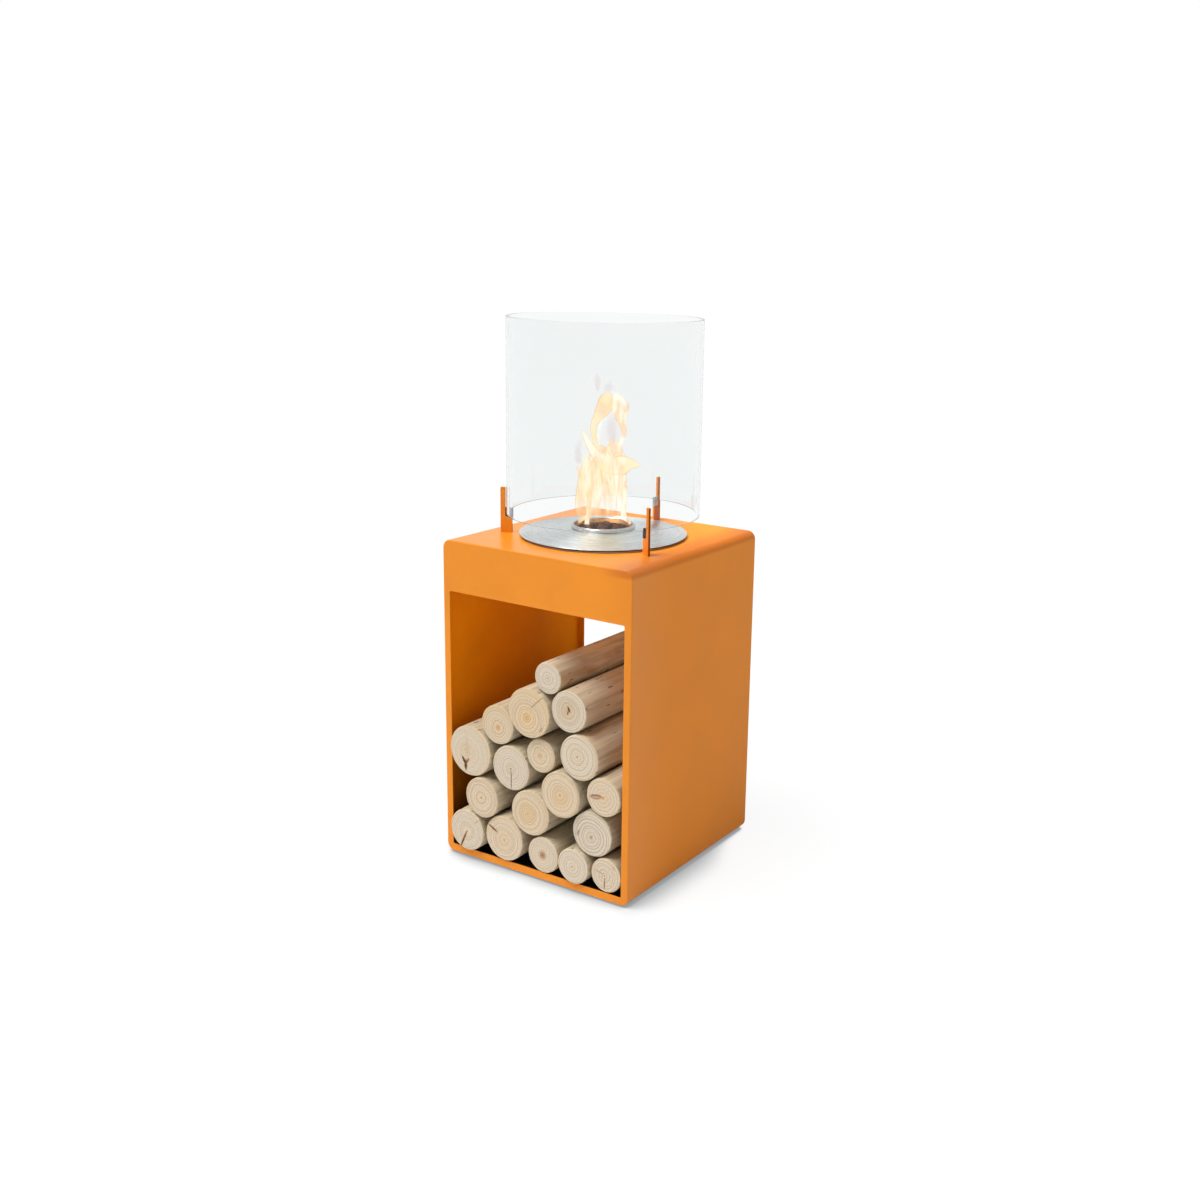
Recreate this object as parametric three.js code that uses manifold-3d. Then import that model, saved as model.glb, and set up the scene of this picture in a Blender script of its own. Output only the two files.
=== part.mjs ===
// Bioethanol fireplace: a folded steel body with a log bay, a round burner on top
// and a glass cylinder round the flame.
// Millimetres, +Z up, origin at the bottom centre, +X to the right along the front, the front faces -Y.
import * as THREE from "three";
import { mergeVertices } from "three/addons/utils/BufferGeometryUtils.js";
import Module from "manifold-3d";

const wasm = await Module();
wasm.setup();

// Body shell
const BODY_WIDTH = 400;
const BODY_DEPTH = 400;
const BODY_HEIGHT = 582;
const WRAP_SHEET = 2;
const CORNER_RADIUS = 15;
const FRAME_SHEET = 2;
const FRAME_BORDER = 14;
const FRAME_CORNER_RADIUS = 3;
const APRON_HEIGHT = 91;
const SEAT_GAP = 0.3; // between pieces that rest on, or are fixed to, each other
const FOOT_HEIGHT = 2.7;
const FOOT_RADIUS = 14;
const FOOT_INSET = 34;
const FOOT_CHAMFER = 0.8;

// Log bay
const LINER_SHEET = 1.2;
const LINER_RIM = 8;
const LINER_END_GAP = 6;
const CEILING_SHEET = 1.5;
const RAIL_LEG = 15;
const RAIL_SHEET = 2;
const RAIL_END_GAP = 12;
const CEILING_SCREW_RADIUS = 2;
const CEILING_SCREW_HEAD_RADIUS = 4;
const CEILING_SCREW_FACE_RADIUS = 2.8;
const CEILING_SCREW_HEAD_HEIGHT = 2.4;
const CEILING_SCREW_TIP = 3;
const CEILING_SCREW_INSET = 60;
const SCREW_CLEARANCE = 0.3;

// Logs in the order they were laid: the radius of each, and where it was put across the bay,
// from -1 at the left wall to 1 at the right one
const LOG_RADII = [
  39.5, 43, 31.5, 33, 34, 38.5, 42.5, 42, 47.5, 42, 42.5, 35.5, 32, 41.5, 37, 46, 38, 29.5,
];
const LOG_PLACES = [
  -0.79, -0.34, 0.86, 0.49, 0.12, -0.6, -0.04, 0.65, -0.73, -0.27, 0.35, 0.83, 0.09, 0.57, -0.42, -0.03,
  0.43, 0.17,
];
const LOG_PROUD = 8; // how far the longest reach stands out of the front or the back
const LOG_STAGGER = 4;
const LOG_STAGGER_STEPS = 5;
const LOG_STAGGER_STRIDE = 7; // steps from one log to the next
const LOG_END_ROUNDING = 1.6;
const LOG_SIDES = 16;
const LOG_UNEVENNESS = 0.015; // share of the radius
const LOG_GAP = 0.35;

// Burner
const TOP_HOLE_RADIUS = 135;
const PAN_WALL_GAP = 2;
const PAN_SHEET = 1.2;
const PAN_DEPTH = 75;
const PAN_FLANGE_RADIUS = 144;
const PAN_FLOOR_ROUNDING = 8;
const GASKET_INNER_RADIUS = 130;
const GASKET_OUTER_RADIUS = 146;
const GASKET_THICKNESS = 2.4;
const PLATE_RADIUS = 149.5;
const PLATE_SHEET = 1.5;
const PLATE_RIM_WIDTH = 8;
const PLATE_RISE = 9;
const PLATE_LAND_RADIUS = 62;
const CANISTER_RADIUS = 49;
const CANISTER_SHEET = 1.5;
const CANISTER_DEPTH = 77;
const CANISTER_FLOOR_ROUNDING = 4;
const CANISTER_HOLE_GAP = 1.5;
const CANISTER_BEAD_DEPTH = 2.5;
const CANISTER_BEAD_DROP = 26; // from the underside of the mouth ring down to the top of the bead
const MOUTH_RADIUS = 52;
const MOUTH_RING_RADIUS = 57;
const MOUTH_RING_HEIGHT = 6.5;
const WOOL_SIDE_GAP = 0.8;
const WOOL_EDGE_DROP = 1;
const GRATE_SHEET = 1.5;
const GRATE_HOLE_RADIUS = 3.4;
const GRATE_HOLE_PITCH = 13;
const GRATE_HOLE_RINGS = 2;
const GRATE_HOLES_IN_FIRST_RING = 6;
const STONE_RADIUS = 14.6;
const STONE_RING_RADIUS = 31.2;
const STONES_IN_RING = 6;
const STONE_FLAT_DEPTH = 10; // from the middle of a stone down to its flat lower side
const STONE_ROUGHNESS = 0.18; // share of the radius
const STONE_WAVES = [
  [3.1, 1.2, 0.7],
  [-1.5, 4.3, 1.1],
  [0.9, -1.4, 3.7],
];

// Glass and its brackets
const GLASS_RADIUS = 171.5;
const GLASS_WALL = 4.5;
const GLASS_HEIGHT = 343;
const GLASS_LIFT = 41; // underside of the glass over the top of the body
const GLASS_EDGE_CHAMFER = 0.8;
const BRACKET_THICKNESS = 4;
const BRACKET_DEPTH = 21; // from the outer face in towards the burner
const BRACKET_LEG_GAP = 3.8; // from the glass to the leg
const BRACKET_LEG_WIDTH = 8.7;
const BRACKET_LEG_HEIGHT = 82;
const BRACKET_STEP_HEIGHT = 28;
const BRACKET_FILLET = 4;
const BRACKET_CORNER = 1.2;
const TENON_INSET = 5;
const TENON_STICK_OUT = 1.7;
const BRACKETS = { rear: 90, left: 210, right: 330 };
const SHOE_WIDTH = 9;
const SHOE_CORNER = 5;
const SHOE_CHEEK_DROP = 6;
const SHOE_LIP = 4;
const GLASS_SLOT_GAP = 0.4;

// Smallest slip that counts as an overlap of two logs, and how near two corners are to be one
const SLIP = 1e-6;
const WELD_DISTANCE = 1e-3;

// Facets
const ROUND_SIDES = 64;
const SMALL_ROUND_SIDES = 12;
const CANISTER_SIDES = 48;
const GRATE_CURVE_SEGMENTS = 10;
const CORNER_SEGMENTS = 6;
const FULL_TURN = 2 * Math.PI;

// Levels and places that follow from the sizes above
const bodyBottom = FOOT_HEIGHT + SEAT_GAP;
const bodyTop = bodyBottom + BODY_HEIGHT;
const halfWidth = BODY_WIDTH / 2;
const halfDepth = BODY_DEPTH / 2;
const bayFloor = bodyBottom + FRAME_BORDER;
const bayCeiling = bodyTop - APRON_HEIGHT;
const bayHalfWidth = halfWidth - FRAME_BORDER;
const wallInside = halfWidth - WRAP_SHEET;
const panFlangeTop = bodyTop + SEAT_GAP + PAN_SHEET;
const gasketTop = panFlangeTop + SEAT_GAP + GASKET_THICKNESS;
const plateEdgeBottom = gasketTop + SEAT_GAP;
const plateLandTop = plateEdgeBottom + PLATE_SHEET + PLATE_RISE;
const mouthRingBottom = plateLandTop + SEAT_GAP;
const mouthTop = mouthRingBottom + MOUTH_RING_HEIGHT;
const canisterBottom = mouthRingBottom - CANISTER_DEPTH;
const beadTop = mouthRingBottom - CANISTER_BEAD_DROP;
const canisterInside = CANISTER_RADIUS - CANISTER_SHEET;
const grateBottom = beadTop + SEAT_GAP;
const grateTop = grateBottom + GRATE_SHEET;
const glassBottom = bodyTop + GLASS_LIFT;
const bracketBottom = bodyTop + SEAT_GAP;
const bracketStep = bodyTop + BRACKET_STEP_HEIGHT;
const legInside = GLASS_RADIUS + BRACKET_LEG_GAP;
const legOutside = legInside + BRACKET_LEG_WIDTH;
const bracketInside = legOutside - BRACKET_DEPTH;

// Finishes
const finish = (color, roughness, metalness, extra = {}) =>
  new THREE.MeshStandardMaterial({ color, roughness, metalness, ...extra });
const orangeCoat = finish(0xf08a24, 0.5, 0);
const blackCoat = finish(0x0c0c0d, 0.6, 0);
const brushedSteel = finish(0xc8cccc, 0.32, 1);
const zincSteel = finish(0x9fa3a6, 0.4, 1);
const blackSilicone = finish(0x151515, 0.7, 0);
const ceramicWool = finish(0xe8e4da, 0.95, 0);
const darkStone = finish(0x3b2a24, 0.85, 0);
const clearGlass = finish(0xeef3f1, 0.05, 0, { transparent: true, opacity: 0.25 });
const peeledWood = finish(0xcdb89c, 0.75, 0);

// Solids

/** A closed geometry as a manifold-3d solid. */
function solidOf(geometry) {
  const bare = geometry.clone();
  bare.deleteAttribute("normal");
  bare.deleteAttribute("uv");
  const merged = mergeVertices(bare, WELD_DISTANCE);
  const corners = merged.index.array;
  const kept = [];
  for (let i = 0; i < corners.length; i += 3) {
    const [a, b, c] = [corners[i], corners[i + 1], corners[i + 2]];
    if (a !== b && b !== c && c !== a) kept.push(a, b, c);
  }
  const mesh = new wasm.Mesh({
    numProp: 3,
    vertProperties: merged.attributes.position.array,
    triVerts: new Uint32Array(kept),
  });
  return new wasm.Manifold(mesh);
}

/** A manifold-3d solid as a geometry with flat normals. */
function geometryOf(solid) {
  const mesh = solid.getMesh();
  const stride = mesh.numProp;
  const points = new Float32Array((mesh.vertProperties.length / stride) * 3);
  for (let i = 0; i < points.length / 3; i++) {
    points.set(mesh.vertProperties.subarray(i * stride, i * stride + 3), i * 3);
  }
  const indexed = new THREE.BufferGeometry();
  indexed.setAttribute("position", new THREE.BufferAttribute(points, 3));
  indexed.setIndex(new THREE.BufferAttribute(mesh.triVerts, 1));
  const flat = indexed.toNonIndexed();
  flat.computeVertexNormals();
  return flat;
}

/** The first geometry with the others cut out of it. */
function cut(body, ...tools) {
  let solid = solidOf(body);
  for (const tool of tools) solid = solid.subtract(solidOf(tool));
  return geometryOf(solid);
}

/** A rectangle with round corners, centred on (x, y). */
function roundedRectangle(width, height, radius, x = 0, y = 0, Path = THREE.Shape) {
  const [w, h] = [width / 2, height / 2];
  const path = new Path();
  path.moveTo(x - w + radius, y - h);
  path.absarc(x + w - radius, y - h + radius, radius, -Math.PI / 2, 0);
  path.absarc(x + w - radius, y + h - radius, radius, 0, Math.PI / 2);
  path.absarc(x - w + radius, y + h - radius, radius, Math.PI / 2, Math.PI);
  path.absarc(x - w + radius, y - h + radius, radius, Math.PI, 1.5 * Math.PI);
  return path;
}

/** A shape drawn in X and Z, pushed along Y from front to back. */
function pushedBack(shape, front, back, options = {}) {
  const geometry = new THREE.ExtrudeGeometry(shape, {
    depth: back - front,
    bevelEnabled: false,
    curveSegments: CORNER_SEGMENTS,
    ...options,
  });
  return geometry.rotateX(Math.PI / 2).translate(0, back, 0);
}

/** A shape drawn in X and Y, raised along Z. */
function raised(shape, bottom, top, curveSegments = CORNER_SEGMENTS) {
  const options = { depth: top - bottom, bevelEnabled: false, curveSegments };
  return new THREE.ExtrudeGeometry(shape, options).translate(0, 0, bottom);
}

/** A solid of revolution about Z from [radius, z] points, up the outside and down the inside. */
function turned(points, sides = ROUND_SIDES) {
  const profile = points.map(([radius, z]) => new THREE.Vector2(radius, z));
  return new THREE.LatheGeometry(profile, sides).rotateX(Math.PI / 2);
}

/** Points of a quarter or other arc in a profile. */
function arc(x, z, radius, from, to, steps = 4) {
  return Array.from({ length: steps + 1 }, (_, i) => {
    const angle = THREE.MathUtils.degToRad(from + ((to - from) * i) / steps);
    return [x + radius * Math.cos(angle), z + radius * Math.sin(angle)];
  });
}

/** A circle as a shape or a hole. */
function circle(radius, x = 0, y = 0, Path = THREE.Shape) {
  return new Path().absarc(x, y, radius, 0, FULL_TURN);
}

/** A closed shape from points. */
function outline(points) {
  return new THREE.Shape(points.map(([x, y]) => new THREE.Vector2(x, y)));
}

/** A named mesh of one sub-part. */
function piece(name, geometry, material) {
  const mesh = new THREE.Mesh(geometry, material);
  mesh.name = name;
  return mesh;
}

// Body

/** The sheet bent round the body, with the burner's hole and the tenon slots in its top. */
function bodyWrap() {
  const middle = bodyBottom + BODY_HEIGHT / 2;
  const band = roundedRectangle(BODY_WIDTH, BODY_HEIGHT, CORNER_RADIUS, 0, middle);
  const hollow = roundedRectangle(
    BODY_WIDTH - 2 * WRAP_SHEET,
    BODY_HEIGHT - 2 * WRAP_SHEET,
    CORNER_RADIUS - WRAP_SHEET,
    0,
    middle,
    THREE.Path,
  );
  band.holes.push(hollow);
  const through = [bodyTop - 2 * WRAP_SHEET, bodyTop + WRAP_SHEET];
  const burnerHole = raised(circle(TOP_HOLE_RADIUS), ...through, ROUND_SIDES / 2);
  const slots = Object.values(BRACKETS).map((angle) => tenonSlot(angle, through));
  return cut(pushedBack(band, -halfDepth, halfDepth), burnerHole, ...slots);
}

/** The slot in the top that a bracket's tenon drops into. */
function tenonSlot(angle, [bottom, top]) {
  const inner = bracketInside + TENON_INSET - SEAT_GAP;
  const outer = legOutside - TENON_INSET + SEAT_GAP;
  const side = BRACKET_THICKNESS / 2 + SEAT_GAP;
  const slot = outline([
    [inner, -side],
    [outer, -side],
    [outer, side],
    [inner, side],
  ]);
  return raised(slot, bottom, top).rotateZ(THREE.MathUtils.degToRad(angle));
}

/** A face of the body: a border on three sides and the apron over the bay. */
function faceFrame(front) {
  const inset = WRAP_SHEET + SEAT_GAP;
  const middle = bodyBottom + BODY_HEIGHT / 2;
  const face = roundedRectangle(
    BODY_WIDTH - 2 * inset,
    BODY_HEIGHT - 2 * inset,
    CORNER_RADIUS - inset,
    0,
    middle,
  );
  const opening = roundedRectangle(
    2 * bayHalfWidth,
    bayCeiling - bayFloor,
    FRAME_CORNER_RADIUS,
    0,
    (bayCeiling + bayFloor) / 2,
    THREE.Path,
  );
  face.holes.push(opening);
  return pushedBack(face, front, front + FRAME_SHEET);
}

/** A low pad under the body. */
function footPad() {
  return turned(
    [
      [0, 0],
      [FOOT_RADIUS - FOOT_CHAMFER, 0],
      [FOOT_RADIUS, FOOT_CHAMFER],
      [FOOT_RADIUS, FOOT_HEIGHT],
      [0, FOOT_HEIGHT],
    ],
    2 * SMALL_ROUND_SIDES,
  );
}

/** The black tray on the floor of the bay. */
function bayLiner() {
  const floor = bodyBottom + WRAP_SHEET + SEAT_GAP;
  const width = 2 * (halfWidth - CORNER_RADIUS);
  const depth = 2 * (halfDepth - FRAME_SHEET - LINER_END_GAP);
  const block = raised(roundedRectangle(width, depth, LINER_RIM), floor, floor + LINER_RIM);
  const inside = roundedRectangle(
    width - 2 * LINER_SHEET,
    depth - 2 * LINER_SHEET,
    LINER_RIM - LINER_SHEET,
  );
  return cut(block, raised(inside, floor + LINER_SHEET, floor + 2 * LINER_RIM));
}

const ceilingBottom = bayCeiling + RAIL_SHEET + SEAT_GAP;
const railReach = wallInside - SEAT_GAP;
const railHalfLength = halfDepth - FRAME_SHEET - RAIL_END_GAP;
const screwX = railReach - RAIL_LEG / 2;
const screwY = halfDepth - CEILING_SCREW_INSET;

/** An upright round hole for a ceiling screw. */
function screwHole(x, y) {
  const radius = CEILING_SCREW_RADIUS + SCREW_CLEARANCE;
  const hole = circle(radius, x, y);
  return raised(hole, bayCeiling - RAIL_SHEET, ceilingBottom + 2 * CEILING_SHEET);
}

/** The angle on a side wall that carries the ceiling; side is -1 on the left and 1 on the right. */
function ceilingRail(side) {
  const profile = outline([
    [side * railReach, bayCeiling],
    [side * (railReach - RAIL_LEG), bayCeiling],
    [side * (railReach - RAIL_LEG), bayCeiling + RAIL_SHEET],
    [side * (railReach - RAIL_SHEET), bayCeiling + RAIL_SHEET],
    [side * (railReach - RAIL_SHEET), bayCeiling + RAIL_LEG],
    [side * railReach, bayCeiling + RAIL_LEG],
  ]);
  const rail = pushedBack(profile, -railHalfLength, railHalfLength);
  return cut(rail, screwHole(side * screwX, -screwY), screwHole(side * screwX, screwY));
}

/** The sheet over the bay, which lies on the rails. */
function bayCeilingSheet() {
  const width = 2 * (railReach - RAIL_SHEET - SEAT_GAP);
  const depth = 2 * (halfDepth - FRAME_SHEET - SEAT_GAP);
  const sheet = roundedRectangle(width, depth, FRAME_CORNER_RADIUS);
  const corners = [-1, 1].flatMap((x) => [-1, 1].map((y) => screwHole(x * screwX, y * screwY)));
  return cut(raised(sheet, ceilingBottom, ceilingBottom + CEILING_SHEET), ...corners);
}

/** A screw up through a rail and the ceiling. */
function ceilingScrew() {
  const headTop = bayCeiling - SEAT_GAP;
  const tip = ceilingBottom + CEILING_SHEET + CEILING_SCREW_TIP;
  return turned(
    [
      [0, headTop - CEILING_SCREW_HEAD_HEIGHT],
      [CEILING_SCREW_FACE_RADIUS, headTop - CEILING_SCREW_HEAD_HEIGHT],
      [CEILING_SCREW_HEAD_RADIUS, headTop - CEILING_SCREW_HEAD_HEIGHT / 2],
      [CEILING_SCREW_HEAD_RADIUS, headTop],
      [CEILING_SCREW_RADIUS, headTop],
      [CEILING_SCREW_RADIUS, tip],
      [0, tip],
    ],
    SMALL_ROUND_SIDES,
  );
}

// Burner

/** The safety pan that hangs in the hole of the top by its flange. */
function burnerPan() {
  const wall = TOP_HOLE_RADIUS - PAN_WALL_GAP;
  const bottom = panFlangeTop - PAN_DEPTH;
  const inner = wall - PAN_SHEET;
  return turned([
    [0, bottom],
    [wall - PAN_FLOOR_ROUNDING, bottom],
    [wall, bottom + PAN_FLOOR_ROUNDING],
    [wall, panFlangeTop - PAN_SHEET],
    [PAN_FLANGE_RADIUS, panFlangeTop - PAN_SHEET],
    [PAN_FLANGE_RADIUS, panFlangeTop],
    [inner, panFlangeTop],
    [inner, bottom + PAN_FLOOR_ROUNDING],
    [wall - PAN_FLOOR_ROUNDING, bottom + PAN_SHEET],
    [0, bottom + PAN_SHEET],
  ]);
}

/** The heat-proof ring between the pan's flange and the plate. */
function plateGasket() {
  const bottom = panFlangeTop + SEAT_GAP;
  return turned([
    [GASKET_INNER_RADIUS, bottom],
    [GASKET_OUTER_RADIUS, bottom],
    [GASKET_OUTER_RADIUS, gasketTop],
    [GASKET_INNER_RADIUS, gasketTop],
    [GASKET_INNER_RADIUS, bottom],
  ]);
}

/** The spun plate: a flat rim, a slow rise and a land round the canister's hole. */
function burnerPlate() {
  const edgeTop = plateEdgeBottom + PLATE_SHEET;
  const landBottom = plateLandTop - PLATE_SHEET;
  const hole = CANISTER_RADIUS + CANISTER_HOLE_GAP;
  const rim = PLATE_RADIUS - PLATE_RIM_WIDTH;
  const bend = PLATE_SHEET / 3;
  return turned([
    [hole, landBottom],
    [PLATE_LAND_RADIUS, landBottom],
    [rim, plateEdgeBottom],
    [PLATE_RADIUS - bend, plateEdgeBottom],
    [PLATE_RADIUS, plateEdgeBottom + bend],
    [PLATE_RADIUS, edgeTop - bend],
    [PLATE_RADIUS - bend, edgeTop],
    [rim, edgeTop],
    [PLATE_LAND_RADIUS, plateLandTop],
    [hole, plateLandTop],
    [hole, landBottom],
  ]);
}

/** The fuel cup: a raised mouth ring that rests on the plate, and a rolled bead that the grate lies on. */
function fuelCanister() {
  const outer = CANISTER_RADIUS;
  const inner = canisterInside;
  const floor = canisterBottom + CANISTER_SHEET;
  const bead = CANISTER_BEAD_DEPTH;
  const roll = (MOUTH_RING_RADIUS - MOUTH_RADIUS) / 2;
  return turned(
    [
      [0, canisterBottom],
      [outer - CANISTER_FLOOR_ROUNDING, canisterBottom],
      [outer, canisterBottom + CANISTER_FLOOR_ROUNDING],
      [outer, beadTop - 2 * bead],
      [outer - bead, beadTop - bead],
      [outer, beadTop],
      [outer, mouthRingBottom],
      [MOUTH_RING_RADIUS, mouthRingBottom],
      [MOUTH_RING_RADIUS, mouthTop - roll],
      ...arc(MOUTH_RADIUS + roll, mouthTop - roll, roll, 45, 180, 3),
      [inner, mouthRingBottom - CANISTER_SHEET],
      [inner, beadTop],
      [inner - bead, beadTop],
      [inner - bead, beadTop - 2 * bead],
      [inner, beadTop - 2 * bead - CANISTER_SHEET],
      [inner, floor + CANISTER_FLOOR_ROUNDING],
      [inner - CANISTER_FLOOR_ROUNDING, floor],
      [0, floor],
    ],
    CANISTER_SIDES,
  );
}

/** The absorbent wool in the canister. */
function fuelWool() {
  const radius = canisterInside - CANISTER_FLOOR_ROUNDING - WOOL_SIDE_GAP;
  const bottom = canisterBottom + CANISTER_SHEET + SEAT_GAP;
  const top = grateBottom - SEAT_GAP;
  const crown = radius - CANISTER_FLOOR_ROUNDING;
  return turned(
    [
      [0, bottom],
      [radius, bottom],
      [radius, top - WOOL_EDGE_DROP],
      [crown, top],
      [0, top],
    ],
    2 * SMALL_ROUND_SIDES,
  );
}

/** The perforated disc under the stones. */
function stoneGrate() {
  const disc = circle(canisterInside - SEAT_GAP);
  disc.holes.push(circle(GRATE_HOLE_RADIUS, 0, 0, THREE.Path));
  for (let ring = 1; ring <= GRATE_HOLE_RINGS; ring++) {
    const count = GRATE_HOLES_IN_FIRST_RING * ring;
    for (let i = 0; i < count; i++) {
      const angle = (FULL_TURN * i) / count;
      const reach = GRATE_HOLE_PITCH * ring;
      const hole = circle(GRATE_HOLE_RADIUS, reach * Math.cos(angle), reach * Math.sin(angle), THREE.Path);
      disc.holes.push(hole);
    }
  }
  return raised(disc, grateBottom, grateTop, GRATE_CURVE_SEGMENTS);
}

/** A broken stone with a flat lower side, lying on the grate. */
function stone(index) {
  const geometry = new THREE.IcosahedronGeometry(1, 1);
  const points = geometry.getAttribute("position");
  const p = new THREE.Vector3();
  for (let i = 0; i < points.count; i++) {
    p.fromBufferAttribute(points, i).normalize();
    const waves = STONE_WAVES.map(([x, y, z], k) => Math.sin(x * p.x + y * p.y + z * p.z + (k + 1) * index));
    const wave = waves.reduce((sum, value) => sum + value, 0) / waves.length;
    p.multiplyScalar(STONE_RADIUS * (1 - (STONE_ROUGHNESS * (1 + wave)) / 2));
    points.setXYZ(i, p.x, p.y, Math.max(p.z, -STONE_FLAT_DEPTH));
  }
  return geometry.translate(0, 0, grateTop + SEAT_GAP + STONE_FLAT_DEPTH);
}

/** The stones: one in the middle and a ring round it. */
function stones() {
  const group = new THREE.Group();
  group.add(piece("stone_1", stone(1), darkStone));
  for (let i = 0; i < STONES_IN_RING; i++) {
    const angle = (FULL_TURN * i) / STONES_IN_RING;
    const mesh = piece(`stone_${i + 2}`, stone(i + 2), darkStone);
    mesh.position.set(STONE_RING_RADIUS * Math.cos(angle), STONE_RING_RADIUS * Math.sin(angle), 0);
    group.add(mesh);
  }
  return group;
}

// Glass and brackets

/** The glass, with its edges ground off. */
function glassCylinder() {
  const top = glassBottom + GLASS_HEIGHT;
  const inner = GLASS_RADIUS - GLASS_WALL;
  const c = GLASS_EDGE_CHAMFER;
  return turned([
    [inner + c, glassBottom],
    [GLASS_RADIUS - c, glassBottom],
    [GLASS_RADIUS, glassBottom + c],
    [GLASS_RADIUS, top - c],
    [GLASS_RADIUS - c, top],
    [inner + c, top],
    [inner, top - c],
    [inner, glassBottom + c],
    [inner + c, glassBottom],
  ]);
}

/** A bracket in its own plane: X outwards, Z up. It has a leg, a low inner step and a tenon below. */
function bracketPlate() {
  const legTop = bodyTop + BRACKET_LEG_HEIGHT;
  const tenonBottom = bodyTop - WRAP_SHEET - TENON_STICK_OUT;
  const f = BRACKET_FILLET;
  const c = BRACKET_CORNER;
  const profile = outline([
    [bracketInside, bracketBottom],
    [bracketInside + TENON_INSET, bracketBottom],
    [bracketInside + TENON_INSET, tenonBottom],
    [legOutside - TENON_INSET, tenonBottom],
    [legOutside - TENON_INSET, bracketBottom],
    [legOutside, bracketBottom],
    ...arc(legOutside - c, legTop - c, c, 0, 90, 2),
    ...arc(legInside + c, legTop - c, c, 90, 180, 2),
    ...arc(legInside - f, bracketStep + f, f, 0, -90),
    ...arc(bracketInside + c, bracketStep - c, c, 90, 180, 2),
  ]);
  return pushedBack(profile, -BRACKET_THICKNESS / 2, BRACKET_THICKNESS / 2);
}

/** The slotted shoe that straddles a bracket's step and holds the glass, in the bracket's plane. */
function glassShoe() {
  const outer = legInside - SEAT_GAP;
  const bottom = bracketStep - SHOE_CHEEK_DROP;
  const top = glassBottom + SHOE_LIP;
  const r = SHOE_CORNER;
  const block = outline([
    ...arc(bracketInside + r, bottom + r, r, 180, 270),
    ...arc(outer - r, bottom + r, r, 270, 360),
    [outer, top],
    [bracketInside, top],
  ]);
  const slotInner = GLASS_RADIUS - GLASS_WALL - GLASS_SLOT_GAP;
  const slotOuter = GLASS_RADIUS + GLASS_SLOT_GAP;
  const glassSlot = outline([
    [slotInner, glassBottom - SEAT_GAP],
    [slotOuter, glassBottom - SEAT_GAP],
    [slotOuter, top + SHOE_LIP],
    [slotInner, top + SHOE_LIP],
  ]);
  const f = BRACKET_FILLET - SEAT_GAP;
  const stepTop = bracketStep + SEAT_GAP;
  const stepRoom = outline([
    [bracketInside - SHOE_WIDTH, bottom - SHOE_LIP],
    [legOutside, bottom - SHOE_LIP],
    [legOutside, stepTop + f],
    ...arc(outer - f, stepTop + f, f, 0, -90),
    [bracketInside - SHOE_WIDTH, stepTop],
  ]);
  const side = BRACKET_THICKNESS / 2 + SEAT_GAP;
  return cut(
    pushedBack(block, -SHOE_WIDTH / 2, SHOE_WIDTH / 2),
    pushedBack(glassSlot, -SHOE_WIDTH, SHOE_WIDTH),
    pushedBack(stepRoom, -side, side),
  );
}

/** A bracket and its shoe, turned to their place round the burner. */
function bracketGroup(place, angle) {
  const group = new THREE.Group();
  group.add(piece(`bracket_${place}`, bracketPlate(), orangeCoat));
  group.add(piece(`glass_shoe_${place}`, glassShoe(), blackSilicone));
  group.rotation.z = THREE.MathUtils.degToRad(angle);
  return group;
}

// Log stack

/** Where two circles of the given reaches round two logs cross, on the upper side. */
function crossing(a, b, reachA, reachB) {
  const span = Math.hypot(b.x - a.x, b.z - a.z);
  if (span > reachA + reachB || span < Math.abs(reachA - reachB)) return [];
  const along = (reachA ** 2 - reachB ** 2 + span ** 2) / (2 * span);
  const off = Math.sqrt(Math.max(reachA ** 2 - along ** 2, 0));
  const [ux, uz] = [(b.x - a.x) / span, (b.z - a.z) / span];
  return [1, -1].map((side) => ({
    x: a.x + ux * along - side * uz * off,
    z: a.z + uz * along + side * ux * off,
  }));
}

/** Every place where a log comes to rest: on the lips, beside a log, on a log and a wall, or on two logs. */
function restingPlaces(radius, laid) {
  const wall = bayHalfWidth - LOG_GAP - radius;
  const floor = bayFloor + SEAT_GAP + radius;
  const places = [-wall, wall].map((x) => ({ x, z: floor }));
  laid.forEach((log, i) => {
    const reach = radius + log.radius + LOG_GAP;
    const beside = reach ** 2 - (floor - log.z) ** 2;
    if (beside > 0) {
      places.push({ x: log.x - Math.sqrt(beside), z: floor }, { x: log.x + Math.sqrt(beside), z: floor });
    }
    for (const x of [-wall, wall]) {
      const over = reach ** 2 - (x - log.x) ** 2;
      if (over > 0 && Math.abs(x) > Math.abs(log.x)) places.push({ x, z: log.z + Math.sqrt(over) });
    }
    for (const other of laid.slice(i + 1)) {
      const between = crossing(log, other, reach, radius + other.radius + LOG_GAP).filter(
        (p) => p.x > Math.min(log.x, other.x) && p.x < Math.max(log.x, other.x),
      );
      places.push(...between.filter((p) => p.z > Math.min(log.z, other.z)));
    }
  });
  const room = (p, log) => Math.hypot(p.x - log.x, p.z - log.z) - log.radius - radius - LOG_GAP;
  const clear = (p) => laid.every((log) => room(p, log) > -SLIP);
  return places.filter((p) => Math.abs(p.x) <= wall + SLIP && p.z >= floor - SLIP && clear(p));
}

/** The logs in the order they were laid, each at the resting place nearest to where it was put. */
function stackedLogs() {
  const laid = [];
  for (const [i, radius] of LOG_RADII.entries()) {
    const aim = LOG_PLACES[i] * bayHalfWidth;
    const places = restingPlaces(radius, laid);
    places.sort((a, b) => Math.abs(a.x - aim) - Math.abs(b.x - aim));
    laid.push({ radius, ...places[0] });
  }
  return laid;
}

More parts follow.
